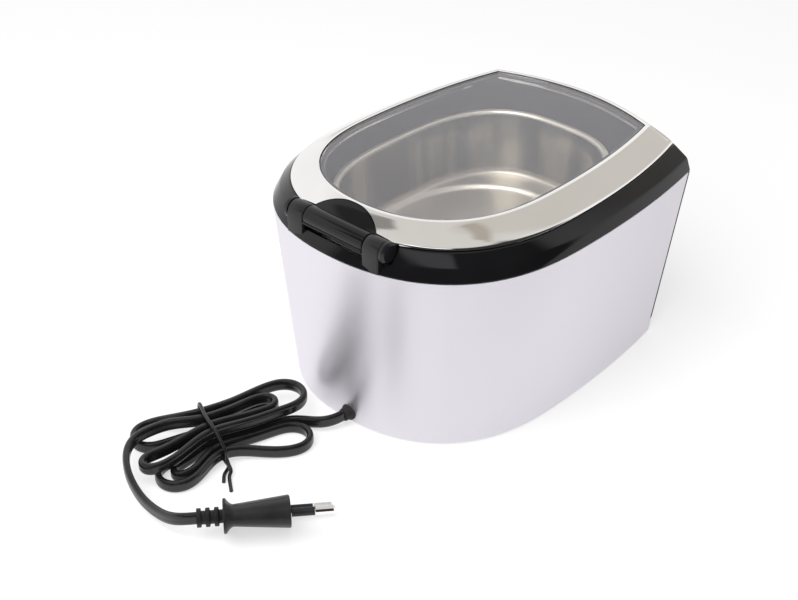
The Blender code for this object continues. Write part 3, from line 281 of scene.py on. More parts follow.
windingCopper = grained("windingCopper", {
    "colour": (0.70, 0.33, 0.15), "drift": (0.78, 0.42, 0.22), "metal": 1.0,
    "rough": 0.32, "roughSpread": 0.12, "cloudScale": 140.0, "grain": 0.35, "grainScale": 1200.0,
})
darkPlastic = grained("darkPlastic", {
    "colour": (0.022, 0.022, 0.025), "drift": (0.032, 0.032, 0.036),
    "rough": 0.48, "roughSpread": 0.12, "cloudScale": 90.0, "grain": 0.22, "grainScale": 1400.0,
})
greyPlastic = grained("greyPlastic", {
    "colour": (0.46, 0.46, 0.48), "drift": (0.52, 0.52, 0.54),
    "rough": 0.42, "roughSpread": 0.10, "cloudScale": 90.0, "grain": 0.14, "grainScale": 1400.0,
})


# window plastic: clear, faintly grey, cloudy in roughness, and open to lamp light, which lights the tank
def clearWindow(name, look):
    material, wire, place = newMaterial(name)
    cloud = place.clouds(look["cloudScale"])
    glass = wire.node("BsdfPrincipled", {}, {
        "Base Color": rgba(look["colour"]),
        "Roughness": cloudy(look["rough"], look, cloud),
        "IOR": look["ior"],
        "Specular Tint": rgba(look["sheen"]),
        "Transmission Weight": 1.0,
    })
    lit = wire.node("BsdfTransparent", {}, {"Color": rgba(look["shadow"])})
    shadowRay = wire.node("LightPath", out="Is Shadow Ray")
    diffuseRay = wire.node("LightPath", out="Is Diffuse Ray")
    lamplight = shadowRay.maths("MAXIMUM", shadowRay, diffuseRay)
    seen = wire.node("MixShader", {}, {0: lamplight, 1: glass, 2: lit})
    wire.node("OutputMaterial", {}, {"Surface": seen})
    return material


windowClear = clearWindow("windowClear", {
    "colour": (0.88, 0.88, 0.91), "shadow": (0.80, 0.80, 0.82), "sheen": (0.97, 0.94, 1.0),
    "ior": 1.62, "rough": 0.02, "roughSpread": 0.03, "cloudScale": 60.0,
})
lensDark = clearWindow("lensDark", {
    "colour": (0.20, 0.20, 0.22), "shadow": (0.20, 0.20, 0.22), "sheen": (1.0, 1.0, 1.0),
    "ior": 1.49, "rough": 0.04, "roughSpread": 0.03, "cloudScale": 90.0,
})
print("finishes made:", len(bpy.data.materials))

# plan of the housing at the foot of the bezel, and what the other levels draw in from it: half width,
# reach to the rear, reach to the front corners, how far the sides draw in there, bow of the front
housing = {
    "plan": np.array((0.0797, 0.0937, 0.0890, 0.0083, 0.0145)),
    "footInset": np.array((0.0098, 0.0083, 0.0092, 0.0018, 0.0020)),
    "bandInset": np.array((0.0019, 0.0047, -0.0003, -0.0007, 0.0007)),
    "lidInset": np.array((0.0080, 0.0086, 0.0012, -0.0028, 0.0025)),
    "windowInset": np.array((0.0225, 0.0203, 0.0076, -0.0013, 0.0045)),
    "sidePower": 2.21,
    "endPower": 2.77,
    "rearSteps": 60,
    "sideSteps": 24,
    "frontSteps": 24,
    "gap": 0.0003,
    "slideGap": 0.0005,
    "bandHeight": 0.0058,
    "rimRise": 0.0053,
    "lidGap": 0.0005,
    "lidRise": 0.0078,
    "deckDrop": 0.0092,
}
bezelPlan = housing["plan"]
footPlan = bezelPlan - housing["footInset"]
bandPlan = bezelPlan - housing["bandInset"]
lidPlan = bezelPlan - housing["lidInset"]
windowPlan = bezelPlan - housing["windowInset"]
waistY = (bezelPlan[2] + bezelPlan[4] - bezelPlan[1]) / 2
gap = housing["gap"]
slideGap = housing["slideGap"]
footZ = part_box("body_shell")[0].z
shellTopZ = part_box("body_shell")[1].z
bezelZ = shellTopZ + gap
bandZ = bezelZ + housing["bandHeight"]
rimZ = bandZ + housing["rimRise"]
lidZ = rimZ + housing["lidGap"]
windowZ = lidZ + housing["lidRise"]
deckZ = rimZ - housing["deckDrop"]


# a level drawn in by one distance all round
def drawnIn(size, distance):
    width, rear, corner, tuck, bow = size
    cornerX = width - tuck
    nearer = bow * ((cornerX - distance) / cornerX) ** 2
    return np.array((width - distance, rear - distance, corner - distance, tuck, nearer))


# half length of the ellipse that a level's sides follow
def sideReach(size):
    width, _, corner, tuck, _ = size
    return corner / math.sqrt(1 - ((width - tuck) / width) ** 2)


# rear: powers of sine and cosine over a quarter turn; side: a long ellipse; front: a parabola; mirrored
def outline(size, z):
    width, rear, corner, tuck, bow = size
    turn = np.linspace(0.0, math.pi / 2, housing["rearSteps"] + 1)
    cornerX = width - tuck
    sideY = np.linspace(0.0, corner, housing["sideSteps"] + 1)[1:]
    frontX = cornerX * np.linspace(1.0, 0.0, housing["frontSteps"] + 1)[1:]
    x = np.concatenate([
        width * np.sin(turn) ** (2 / housing["sidePower"]),
        width * np.sqrt(1 - (sideY / sideReach(size)) ** 2),
        frontX,
    ])
    y = np.concatenate([
        rear * np.abs(np.cos(turn)) ** (2 / housing["endPower"]),
        -sideY,
        -corner - bow * (1 - (frontX / cornerX) ** 2),
    ])
    x = np.concatenate([x, -x[-2:0:-1]])
    y = np.concatenate([y, y[-2:0:-1]]) + waistY
    return np.stack([x, y, np.full(len(x), z)], axis=1)


# every row but the two ends becomes a short parabola, tangent to the stretches on both sides of it
def roundedRows(rows, radius, hollow=False, steps=4):
    rows = np.asarray(rows)
    radius = np.broadcast_to(np.asarray(radius, dtype=float), len(rows))[:, None, None]
    mostOfStretch = 0.48

    def towards(other):
        step = other - rows
        reach = np.linalg.norm(step, axis=2, keepdims=True)
        return rows + step * np.minimum(radius / np.maximum(reach, 1e-9), mostOfStretch)

    before = towards(np.roll(rows, 1, axis=0))
    after = towards(np.roll(rows, -1, axis=0))
    t = np.linspace(0.0, 1.0, steps + 1)[:, None, None, None]
    arcs = ((1 - t) ** 2 * before + 2 * t * (1 - t) * rows + t ** 2 * after).transpose(1, 0, 2, 3)
    if hollow:
        return arcs.reshape(-1, *rows.shape[1:])
    return np.concatenate([rows[:1], arcs[1:-1].reshape(-1, *rows.shape[1:]), rows[-1:]])


# rows of points skinned into quads: closed on itself into a hollow ring, or capped at both ends
def skinned(rows, hollow=False):
    rows = np.asarray(rows)
    count, around = rows.shape[:2]
    low = np.arange(count if hollow else count - 1)[:, None]
    here = np.arange(around)[None, :]
    high = (low + 1) % count
    ahead = (here + 1) % around
    corners = [low * around + here, low * around + ahead, high * around + ahead, high * around + here]
    faces = np.stack(corners, axis=-1).reshape(-1, 4).tolist()
    if not hollow:
        faces.append(list(range(around)))
        faces.append(list(range((count - 1) * around, count * around)))
    return rows.reshape(-1, 3), faces


# several closed shells as one list of points and faces
def together(*shells):
    points = []
    faces = []
    start = 0
    for shellPoints, shellFaces in shells:
        points.append(shellPoints)
        faces += [[start + i for i in face] for face in shellFaces]
        start += len(shellPoints)
    return np.concatenate(points), faces


def fullTurn(steps):
    return np.linspace(0.0, 2 * math.pi, steps, endpoint=False)


# cosine and sine of a full turn, each raised to a power that squares the circle off
def squaredTurn(steps, power):
    turn = fullTurn(steps)
    return [np.sign(wave) * np.abs(wave) ** (2 / power) for wave in (np.cos(turn), np.sin(turn))]


# circles of the profile's radii round an axis, one for each distance along it
def turnedRows(profile, centre, axis, steps=64):
    profile = np.asarray(profile, dtype=float)
    axis = np.asarray(axis, dtype=float) / np.linalg.norm(axis)
    side = np.cross(axis, (0.0, 0.0, 1.0) if abs(axis[2]) < 0.9 else (1.0, 0.0, 0.0))
    side = side / np.linalg.norm(side)
    turn = fullTurn(steps)[None, :, None]
    spoke = np.cos(turn) * side + np.sin(turn) * np.cross(axis, side)
    leastRadius = 1e-5
    radius = np.maximum(profile[:, 0], leastRadius)[:, None, None]
    return np.asarray(centre) + profile[:, 1][:, None, None] * axis + radius * spoke


# angle in degrees past which edges stay sharp, unless a piece has its own
sharpEdge = 35.0


# points and faces as a mesh whose faces point outwards
def newMesh(name, shell, sharp=sharpEdge):
    points, faces = shell
    mesh = bpy.data.meshes.new(name)
    mesh.from_pydata(points.tolist(), [], faces)
    work = bmesh.new()
    work.from_mesh(mesh)
    bmesh.ops.recalc_face_normals(work, faces=work.faces[:])
    work.to_mesh(mesh)
    work.free()
    return smoothed(mesh, sharp)


# smooth shading, broken where faces meet at more than an angle in degrees
def smoothed(mesh, sharp):
    mesh.polygons.foreach_set("use_smooth", np.ones(len(mesh.polygons), dtype=bool))
    mesh.set_sharp_from_angle(angle=math.radians(sharp))
    return mesh


def newObject(name, mesh):
    piece = bpy.data.objects.new(name, mesh)
    bpy.context.scene.collection.objects.link(piece)
    return piece


# cuts shells out of a mesh, or keeps only what lies inside all of them
def carved(mesh, tools, operation="DIFFERENCE"):
    piece = newObject("blank", mesh)
    helpers = [newObject("tool", newMesh("tool", tool)) for tool in tools]
    for helper in helpers:
        carve = piece.modifiers.new("carve", "BOOLEAN")
        carve.operation = operation
        carve.object = helper
    graph = bpy.context.evaluated_depsgraph_get()
    result = bpy.data.meshes.new_from_object(piece.evaluated_get(graph))
    for helper in [piece, *helpers]:
        bpy.data.objects.remove(helper, do_unlink=True)
    return smoothed(result, sharpEdge)


# finish, body and material slot of a piece, and the nodes it stands for
def dress(piece, finish, body, stands=()):
    piece.data.materials.clear()
    piece.data.materials.append(finish)
    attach(piece, body)
    if stands:
        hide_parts(*stands)
    return piece


# housing wall: outside leans out towards the top, its front steps back above the sill to take the fascia,
# and a window in that front lets the buttons and the display through
body = {
    "wall": 0.0024, "sill": 0.0097, "pocket": 0.0019,
    "windowHalf": 0.0310, "windowLow": 0.0380, "windowHigh": 0.0820, "windowReach": 0.0400,
    "edges": (0.0002, 0.0006, 0.0001, 0.0001, 0.0003, 0.0002),
}


# a level with its front set back by the pocket, its corners slid along the side curve
def pocketed(size):
    width, rear, corner, _, bow = size
    shorter = corner - body["pocket"]
    newTuck = width - width * math.sqrt(1 - (shorter / sideReach(size)) ** 2)
    return np.array((width, rear, shorter, newTuck, bow))


def makeHousing():
    share = (body["sill"] - footZ) / (shellTopZ - footZ)
    sillPlan = footPlan + (bezelPlan - footPlan) * share
    innerTop = drawnIn(bezelPlan, body["wall"] + body["pocket"])
    innerFoot = drawnIn(footPlan, body["wall"] + body["pocket"])
    rows = [
        outline(innerFoot, footZ),
        outline(footPlan, footZ),
        outline(sillPlan, body["sill"]),
        outline(pocketed(sillPlan), body["sill"]),
        outline(pocketed(bezelPlan), shellTopZ),
        outline(innerTop, shellTopZ),
    ]
    wall = roundedRows(rows, body["edges"], hollow=True)
    half, low, high = body["windowHalf"], body["windowLow"], body["windowHigh"]
    corners = np.array([(-half, 0.0, low), (half, 0.0, low), (half, 0.0, high), (-half, 0.0, high)])
    front = waistY - footPlan[2] + body["windowReach"] * np.array((1.0, -1.0))
    window = skinned(corners + front[:, None, None] * np.array((0.0, 1.0, 0.0)))
    mesh = carved(newMesh("housing_wall", skinned(wall, hollow=True)), [window])
    piece = newObject("housing_wall", mesh)
    dress(piece, satinSilver, "base", ["body_shell"])


makeHousing()
print("housing made")

# hinge: axis behind the lid, knuckle posts on the bezel and a barrel on the lid
hinge = {
    "behindLid": 0.0005,
    "belowLid": 0.0017,
    "knuckle": 0.0050,
    "postInner": 0.0190,
    "postWidth": 0.0098,
    "proud": 0.0003,
    "capLength": 0.0026,
    "capRadius": 0.0052,
    "barrelRoom": 0.0018,
    "tabRadius": 0.0316,
    "tabFront": 0.0013,
    "notchGap": 0.0004,
    "arc": (200.0, 20.0),
    "arcSteps": 40,
    "postBack": 0.0020,
    "postLift": 0.0002,
    "postMiddle": 0.35,
    # share of the section and depth of the rows that round a post's ends
    "postEnds": ((1.0, 0.0008), (0.985, 0.0004), (0.94, 0.00012), (0.86, 0.0)),
    "boreShare": 0.6,
    "barrelEdge": 0.0005,
    "discReach": 0.01,
    "discSteps": 160,
    "stripRadius": 0.05,
    # lip of the barrel: its middle inwards and down from the knuckle, its half sizes
    "lipMiddle": (0.0006, 0.0020),
    "lipHalf": (0.0009, 0.0007),
    "lipSteps": 20,
}
hingeY = waistY + lidPlan[1] + hinge["behindLid"]
hingeZ = lidZ - hinge["belowLid"]
hingeAxis = np.array((0.0, hingeY, hingeZ))
tabMiddle = np.array((0.0, waistY + windowPlan[1] + hinge["tabFront"] + hinge["tabRadius"], lidZ))
postOuter = hinge["postInner"] + hinge["postWidth"]
capEnd = postOuter + hinge["capLength"] + slideGap + gap


# a cylinder reaching half to both sides of its centre
def rod(radius, half, centre=hingeAxis, axis=(1.0, 0.0, 0.0), steps=64):
    return skinned(turnedRows([(radius, -half), (radius, half)], centre, axis, steps))


# tank: half sizes at its mouth and of the ellipse pressed into its floor
tankLook = {
    "halfX": 0.0496, "halfY": 0.0682, "middleY": -0.0017, "power": 2.8, "wall": 0.0008,
    "depth": 0.0370, "rim": 0.0030, "step": 0.0020, "floorX": 0.0465, "floorY": 0.0537, "steps": 160,
    "gasket": 0.0008, "rimRoll": 0.0002, "flare": 0.0008, "flareHeight": 0.0010, "floorRing": 0.0200,
    "footInset": 0.0028, "footLift": 0.0003, "wallInset": 0.0022, "wallLift": 0.0030, "sharp": 50.0,
    "edges": (
        0.001, 0.0012, 0.0012, 0.0014, 0.0030, 0.0006, 0.0006, 0.0004,
        0.0003, 0.0002, 0.0003, 0.0030, 0.0014, 0.0012, 0.0012, 0.001,
    ),
}
mouthZ = deckZ + tankLook["gasket"] + 2 * gap + tankLook["wall"] + tankLook["rimRoll"]
tankFloorZ = mouthZ - tankLook["depth"]


# oval |x/a|^p + |y/b|^p = 1 about the tank's middle, read in the directions of another ring's points
def oval(halfX, halfY, power, z, like):
    across = like[:, 0]
    along = like[:, 1] - tankLook["middleY"]
    scale = (np.abs(across / halfX) ** power + np.abs(along / halfY) ** power) ** (-1 / power)
    return np.stack([across * scale, tankLook["middleY"] + along * scale, np.full(len(like), z)], axis=1)


# the mouth's oval and the floor's ellipse, drawn in by an inset
def mouthOval(inset, z, like):
    return oval(tankLook["halfX"] - inset, tankLook["halfY"] - inset, tankLook["power"], z, like)


def floorOval(inset, z, like):
    return oval(tankLook["floorX"] - inset, tankLook["floorY"] - inset, 2.0, z, like)


# bezel: steep band, sloped rim, land under the lid, then down to the deck that runs in to the tank
bezelLook = {
    "land": 0.0035, "deckThickness": 0.0022, "deckEdgeRise": 0.0010, "skirtInset": 0.0062,
    "edges": (0.0003, 0.0009, 0.0005, 0.0004, 0.0015, 0.0003, 0.0002, 0.0002, 0.0002),
}


def makeBezel():
    like = outline(lidPlan, 0.0)
    land = drawnIn(lidPlan, bezelLook["land"])
    skirt = drawnIn(bezelPlan, bezelLook["skirtInset"])
    hole = -tankLook["wall"] - slideGap
    under = deckZ - bezelLook["deckThickness"]
    rows = [
        outline(bezelPlan, bezelZ),
        outline(bandPlan, bandZ),
        outline(drawnIn(lidPlan, -slideGap), rimZ),
        outline(land, rimZ),
        outline(drawnIn(land, slideGap), deckZ + bezelLook["deckEdgeRise"]),
        mouthOval(hole, deckZ, like),
        mouthOval(hole, under, like),
        outline(skirt, under),
        outline(skirt, bezelZ),
    ]
    ring = skinned(roundedRows(rows, bezelLook["edges"], hollow=True), hollow=True)
    ring = newMesh("top_bezel_ring", ring)
    capRoom = rod(hinge["capRadius"] + slideGap, capEnd)
    barrelRoom = rod(hinge["knuckle"] + hinge["barrelRoom"], hinge["postInner"])
    piece = newObject("top_bezel_ring", carved(ring, [capRoom, barrelRoom]))
    dress(piece, glossBlack, "base", ["top_bezel"])


# knuckle post: a circle round the hinge axis that runs down into a flat face, pushed across between
# ends whose section shrinks towards its middle
def makePost(side, word):
    angle = np.radians(np.linspace(*hinge["arc"], hinge["arcSteps"]))
    arc = hinge["knuckle"] * np.stack([np.cos(angle), np.sin(angle)], axis=1)
    face = hinge["knuckle"] + hinge["proud"]
    foot = bezelZ + hinge["postLift"] - hingeZ
    down = [(face, 0.0), (face, foot / 2), (face, foot), (0.0, foot), (-hinge["postBack"], foot / 2)]
    section = np.concatenate([arc, down])
    inset, depth = np.array(hinge["postEnds"]).T
    half = hinge["postWidth"] / 2
    ends = np.concatenate([-half + depth[::-1], half - depth])
    scale = np.concatenate([inset[::-1], inset])
    middle = np.array((0.0, foot * hinge["postMiddle"]))
    shaped = middle + (section - middle) * scale[:, None, None]
    centre = side * (hinge["postInner"] + half)
    across = np.broadcast_to(centre + ends[:, None], shaped.shape[:2])
    rows = np.stack([across, hingeY + shaped[..., 0], hingeZ + shaped[..., 1]], axis=-1)
    piece = newObject(f"hinge_post_{word}", newMesh(f"hinge_post_{word}", skinned(rows)))
    dress(piece, satinBlack, "base")


makeBezel()
makePost(-1, "right")
makePost(1, "left")
print("bezel made")

# lid frame: rounded foot edge, gently crowned slope up to a narrow lip round the window, and a rebate and
# a ledge under that
lidLook = {
    "thickness": 0.0024, "pane": 0.0020, "seal": 0.0006, "ledge": 0.0026, "ledgeThickness": 0.0012,
    "ledgeRoot": 0.0010, "footInset": 0.0004, "footRise": 0.0009, "crown": 0.00045, "slopeRows": 9,
    "lip": 0.0017, "lipFall": 0.0002, "slopeEdge": 0.0004, "footEdges": (0.0002, 0.0005),
    "lipEdge": 0.0003, "innerEdge": 0.0002, "paneEdge": 0.0003, "paneInset": 0.001,
}
rebateZ = windowZ - lidLook["pane"] - lidLook["seal"] - 3 * gap


# rows of the frame's ring: the slope goes from foot to lip in a straight line plus a parabola's crown
def frameRows():
    share = np.linspace(0.0, 1.0, lidLook["slopeRows"])
    footPlanInset = drawnIn(lidPlan, lidLook["footInset"])
    lift = 4 * lidLook["crown"] * share * (1 - share)
    lipZ = windowZ - lidLook["lipFall"]
    lipPlan = drawnIn(windowPlan, -lidLook["lip"])
    startZ = lidZ + lidLook["footRise"]
    heights = startZ + (lipZ - startZ) * share + lift
    slope = [outline(footPlanInset + (lipPlan - footPlanInset) * s, z) for s, z in zip(share, heights)]
    ledge = drawnIn(windowPlan, lidLook["ledge"])
    underLedge = rebateZ - lidLook["ledgeThickness"]
    rows = [
        outline(lidPlan, lidZ),
        *slope,
        outline(windowPlan, windowZ),
        outline(windowPlan, rebateZ),
        outline(ledge, rebateZ),
        outline(ledge, underLedge),
        outline(drawnIn(windowPlan, -lidLook["ledgeRoot"]), underLedge),
        outline(drawnIn(lidPlan, lidLook["thickness"]), lidZ),
    ]
    radii = [*lidLook["footEdges"]] + [lidLook["slopeEdge"]] * (lidLook["slopeRows"] - 2)
    radii += [lidLook["lipEdge"]]
    radii += [lidLook["innerEdge"]] * (len(rows) - len(radii))
    return roundedRows(rows, radii, hollow=True, steps=3)


# a disc standing on the tab's middle, tall enough to cut through the whole frame
def tabDisc(radius):
    return rod(radius, hinge["discReach"], tabMiddle, (0.0, 0.0, 1.0), hinge["discSteps"])


def makeFrame(ring):
    room = rod(hinge["capRadius"] + slideGap, capEnd)
    mesh = carved(newMesh("lid_rim", ring), [tabDisc(hinge["tabRadius"]), room])
    dress(newObject("lid_rim", mesh), chrome, "lid", ["lid_frame"])


# pane: one plan at two heights, its top and underside drawn in to round the edges
def makePane():
    glass = drawnIn(windowPlan, gap)
    inner = drawnIn(glass, lidLook["paneInset"])
    low = windowZ - lidLook["pane"] - gap
    high = windowZ - gap
    rows = [outline(inner, low), outline(glass, low), outline(glass, high), outline(inner, high)]
    mesh = newMesh("window_pane", skinned(roundedRows(rows, lidLook["paneEdge"])))
    dress(newObject("window_pane", mesh), windowClear, "lid", ["lid_window"])


# lip: an ellipse pushed along the barrel's lower rear side
def barrelLip(half):
    inward, down = hinge["lipMiddle"]
    middle = hingeAxis + np.array((0.0, hinge["knuckle"] - inward, -down))
    turn = fullTurn(hinge["lipSteps"])
    deep, high = hinge["lipHalf"]
    section = np.stack([0 * turn, deep * np.cos(turn), high * np.sin(turn)], axis=1)
    across = np.linspace(-half, half, 3)[:, None, None] * np.array((1.0, 0.0, 0.0))
    return skinned(middle + section[None] + across)


# leaf: what a disc leaves of the frame's own ring, and a barrel with its lip round the hinge axis
def makeLeaf(ring):
    half = hinge["postInner"] - hinge["notchGap"]
    strip = rod(hinge["stripRadius"], half, tabMiddle)
    disc = tabDisc(hinge["tabRadius"] - hinge["notchGap"])
    mesh = carved(newMesh("hinge_tab", ring), [disc, strip], "INTERSECT")
    dress(newObject("hinge_tab", mesh), glossBlack, "lid", ["hinge_leaf"])
    radius = hinge["knuckle"]
    bore = radius * hinge["boreShare"]
    profile = [(bore, -half), (radius, -half), (radius, half), (bore, half)]
    barrel = roundedRows(turnedRows(profile, hingeAxis, (1.0, 0.0, 0.0)), hinge["barrelEdge"])
    mesh = newMesh("hinge_barrel", together(skinned(barrel), barrelLip(half)))
    dress(newObject("hinge_barrel", mesh), glossBlack, "lid")


lidRing = skinned(frameRows(), hollow=True)
makeFrame(lidRing)
makePane()
makeLeaf(lidRing)
print("lid made")


# tank: floor with a pressed ellipse, round foot, wall that leans out, and a rim that rolls over outwards
def makeTank():
    turn = fullTurn(tankLook["steps"])
    half = np.array((tankLook["halfX"], tankLook["halfY"]))
    ring = half * np.stack([np.sin(turn), np.cos(turn)], axis=1) + np.array((0.0, tankLook["middleY"]))
    wall = tankLook["wall"]
    step = tankLook["step"]
    ledge = tankFloorZ + step
    foot, footLevel = tankLook["footInset"], ledge + tankLook["footLift"]
    side, sideLevel = tankLook["wallInset"], ledge + tankLook["wallLift"]
    under = mouthZ - wall - tankLook["rimRoll"]
    rows = [
        floorOval(tankLook["floorRing"], tankFloorZ, ring),
        floorOval(step, tankFloorZ, ring),
        floorOval(0.0, ledge, ring),
        mouthOval(foot, footLevel, ring),
        mouthOval(side, sideLevel, ring),
        mouthOval(0.0, mouthZ - tankLook["flareHeight"], ring),
        mouthOval(-tankLook["flare"], mouthZ, ring),
        mouthOval(-tankLook["rim"], mouthZ, ring),
        mouthOval(-tankLook["rim"], under, ring),
        mouthOval(-wall - gap, under, ring),
        mouthOval(-wall, under - tankLook["flareHeight"], ring),
        mouthOval(side - wall, sideLevel - wall, ring),
        mouthOval(foot - wall, footLevel - wall, ring),
        floorOval(-wall, ledge - wall, ring),
        floorOval(step - wall, tankFloorZ - wall, ring),
        floorOval(tankLook["floorRing"], tankFloorZ - wall, ring),
    ]
    shell = skinned(roundedRows(rows, tankLook["edges"], steps=6))
    bath = newObject("tank_bath", newMesh("tank_bath", shell, tankLook["sharp"]))
    dress(bath, stainless, "base", ["tank"])


makeTank()
print("tank made")

# cord: leaves the gland, winds into a tied hank of two layers and ends at the plug's boot
cord = {
    "width": 0.0060, "thickness": 0.0034, "floor": 0.0002, "power": 2.7,
    "glandX": -0.0045, "glandZ": 0.0062, "glandNose": 0.0040, "glandRadius": 0.0042,
    "length": 0.870, "step": 0.0012, "soften": 3, "sunk": 0.0010, "crease": 0.10, "creaseWidth": 0.0005,
    "around": 40, "plugRunIn": 0.0060, "sharp": 60.0,
}
glandY = waistY + (footPlan + (bezelPlan - footPlan) * (cord["glandZ"] - footZ) / (shellTopZ - footZ))[1]
hank = {
    "middle": (0.0262, 0.1453), "angle": math.radians(72.75), "waist": 0.0040,
    "layer": 0.0067, "hump": 0.0026, "humpSpan": 0.0160, "foldSteps": 10, "runSteps": 6,
    # place across the waist and layer of each run, in the order the cord takes them
    "runs": (
        (-0.0031, 0), (-0.0078, 0), (-0.0126, 0), (0.0016, 0), (0.0064, 0),
        (0.0124, 1), (-0.0040, 1), (0.0008, 1), (0.0070, 1),
    ),
    # place along and across the hank, radius and layer of the fold after each run
    "folds": (
        (0.0260, -0.0131, 0.0044, 0), (-0.0296, -0.0149, 0.0094, 0), (0.0280, -0.0138, 0.0094, 0),
        (-0.0270, 0.0095, 0.0063, 0), (0.0280, 0.0185, 0.0092, 0), (-0.0370, 0.0090, 0.0105, 1),
        (0.0385, -0.0085, 0.0050, 1), (-0.0270, 0.0075, 0.0054, 1),
    ),
    "start": (-0.0270, -0.0013, 0.0), "end": (0.0240, 0.0146, 1.0),
    # where the lead and the tail pass: along, across and height
    "lead": (
        (-0.0478, -0.0143, 0.0056), (-0.0430, -0.0098, 0.0046), (-0.0386, -0.0046, 0.0034),
        (-0.0342, -0.0018, 0.0032),
    ),
    "tail": (
        (0.0375, 0.0128, 0.0100), (0.0450, 0.0050, 0.0099), (0.0488, -0.0050, 0.0094),
        (0.0502, -0.0145, 0.0078), (0.0494, -0.0262, 0.0056), (0.0470, -0.0380, 0.0062),
        (0.0446, -0.0470, 0.0088),
    ),
}
plug = {
    "start": (-0.0161, 0.1956), "heading": math.radians(230.4), "tilt": math.radians(36.0), "power": 2.8,
    "boot": 0.0115, "ribs": 3, "rib": 0.0042, "groove": 0.0030, "grooveWall": 0.0001,
    "flange": 0.0011, "flangeHalf": (0.0126, 0.0076), "runIn": 0.0034, "runInSteps": 4,
    "neckHalf": (0.0112, 0.0047), "faceHalf": (0.0140, 0.0071), "end": 0.0406, "around": 96,
    # back from the end, in from the face's half sizes, and rounding of the rows that make the face
    "face": (
        (0.0004, 0.0, 0.0004), (0.0, 0.0005, 0.0003), (0.0, 0.0014, 0.0002), (0.0003, 0.0016, 0.0002),
    ),
    "ribEdge": 0.0004, "grooveEdge": 0.0002, "flangeEdge": 0.0003, "runInEdge": 0.0006, "sharp": 50.0,
}


def unit(vector):
    return vector / np.linalg.norm(vector, axis=-1, keepdims=True)


# hank coordinates (along, across, height) to the shared frame
def onFloor(along, across, z):
    x = hank["middle"][0] + along * math.cos(hank["angle"]) + across * math.sin(hank["angle"])
    y = hank["middle"][1] + along * math.sin(hank["angle"]) - across * math.cos(hank["angle"])
    return np.stack([x, y, z], axis=-1)


# half a run: straight along the hank, eased across it by (1 - cosine) / 2, so it is level at both ends
def halfRun(start, end):
    share = np.linspace(0.0, 1.0, hank["runSteps"] + 1)[1:, None]
    ease = (1 - np.cos(math.pi * share)) / 2
    start = np.array(start)
    step = np.array(end) - start
    return np.concatenate([start[:1] + step[:1] * share, start[1:] + step[1:] * ease], axis=1)


# fold: half a circle away from the waist, from one side of its middle to the other
def foldOver(row, side):
    along, across, radius, layer = row
    turn = np.linspace(0.0, math.pi, hank["foldSteps"] + 1)
    out = along + math.copysign(radius, along) * np.sin(turn)
    aside = across + side * radius * np.cos(turn)
    return np.stack([out, aside, np.full(len(turn), float(layer))], axis=1)


# runs that meet at the waist, joined by folds; all of it humps up where the tie passes under
def hankRoute():
    pieces = [np.array([hank["start"]])]
    for number, (slot, layer) in enumerate(hank["runs"]):
        pieces.append(halfRun(pieces[-1][-1], (hank["waist"], slot, layer)))
        bend = np.array([hank["end"]])
        if number < len(hank["folds"]):
            side = 1 if slot > hank["runs"][number + 1][0] else -1
            bend = foldOver(hank["folds"][number], side)
        pieces.append(halfRun(pieces[-1][-1], bend[0]))
        pieces.append(bend[1:])
    along, across, layer = np.concatenate(pieces).T
    hump = hank["hump"] * np.exp(-(((along - hank["waist"]) / hank["humpSpan"]) ** 2))
    return onFloor(along, across, cord["floor"] + cord["width"] / 2 + hank["layer"] * layer + hump)


# plug axes: along its pins, across both pins, and through its thickness
def plugAxes():
    along = np.array((math.cos(plug["heading"]), math.sin(plug["heading"]), 0.0))
    level = np.array((along[1], -along[0], 0.0))
    wide = level * math.cos(plug["tilt"]) + np.array((0.0, 0.0, 1.0)) * math.sin(plug["tilt"])
    return along, wide, np.cross(along, wide)


# rounded section: a squared-off turn across both half sizes
def plugSections(halves):
    wide, thin = plugAxes()[1:]
    halves = np.asarray(halves)[:, :, None, None]
    across, through = squaredTurn(plug["around"], plug["power"])
    return halves[:, 0] * across[None, :, None] * wide + halves[:, 1] * through[None, :, None] * thin


# distance along the plug, half sizes there and rounding: ribbed boot, thin flange whose run-in falls to
# the neck as a parabola, body that widens to the face, which is let in a little inside its edge
def plugStations():
    rows = []
    pitch = plug["boot"] / (2 * plug["ribs"])
    rib = (plug["rib"], plug["rib"], plug["ribEdge"])
    groove = (plug["groove"], plug["groove"], plug["grooveEdge"])
    for number in range(plug["ribs"]):
        start = 2 * number * pitch
        rows += [(start, *rib), (start + pitch, *rib)]
        rows += [(start + pitch + plug["grooveWall"], *groove)]
        rows += [(start + 2 * pitch - plug["grooveWall"], *groove)]
    flange = plug["boot"] + plug["flange"]
    flangeRow = (*plug["flangeHalf"], plug["flangeEdge"])
    rows += [(plug["boot"], *flangeRow), (flange, *flangeRow)]
    neck = np.array(plug["neckHalf"])
    spread = np.array(plug["flangeHalf"]) - neck
    for share in np.arange(1, plug["runInSteps"] + 1) / plug["runInSteps"]:
        half = neck + spread * (1 - share) ** 2
        rows.append((flange + plug["runIn"] * share, *half, plug["runInEdge"]))
    across, through = plug["faceHalf"]
    for back, inset, edge in plug["face"]:
        rows.append((plug["end"] - back, across - inset, through - inset, edge))
    return np.array(rows)


sleeves = [corner.z for name in ("plug_sleeve_far", "plug_sleeve_near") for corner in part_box(name)]
plugStart = np.array((*plug["start"], sum(sleeves) / len(sleeves)))


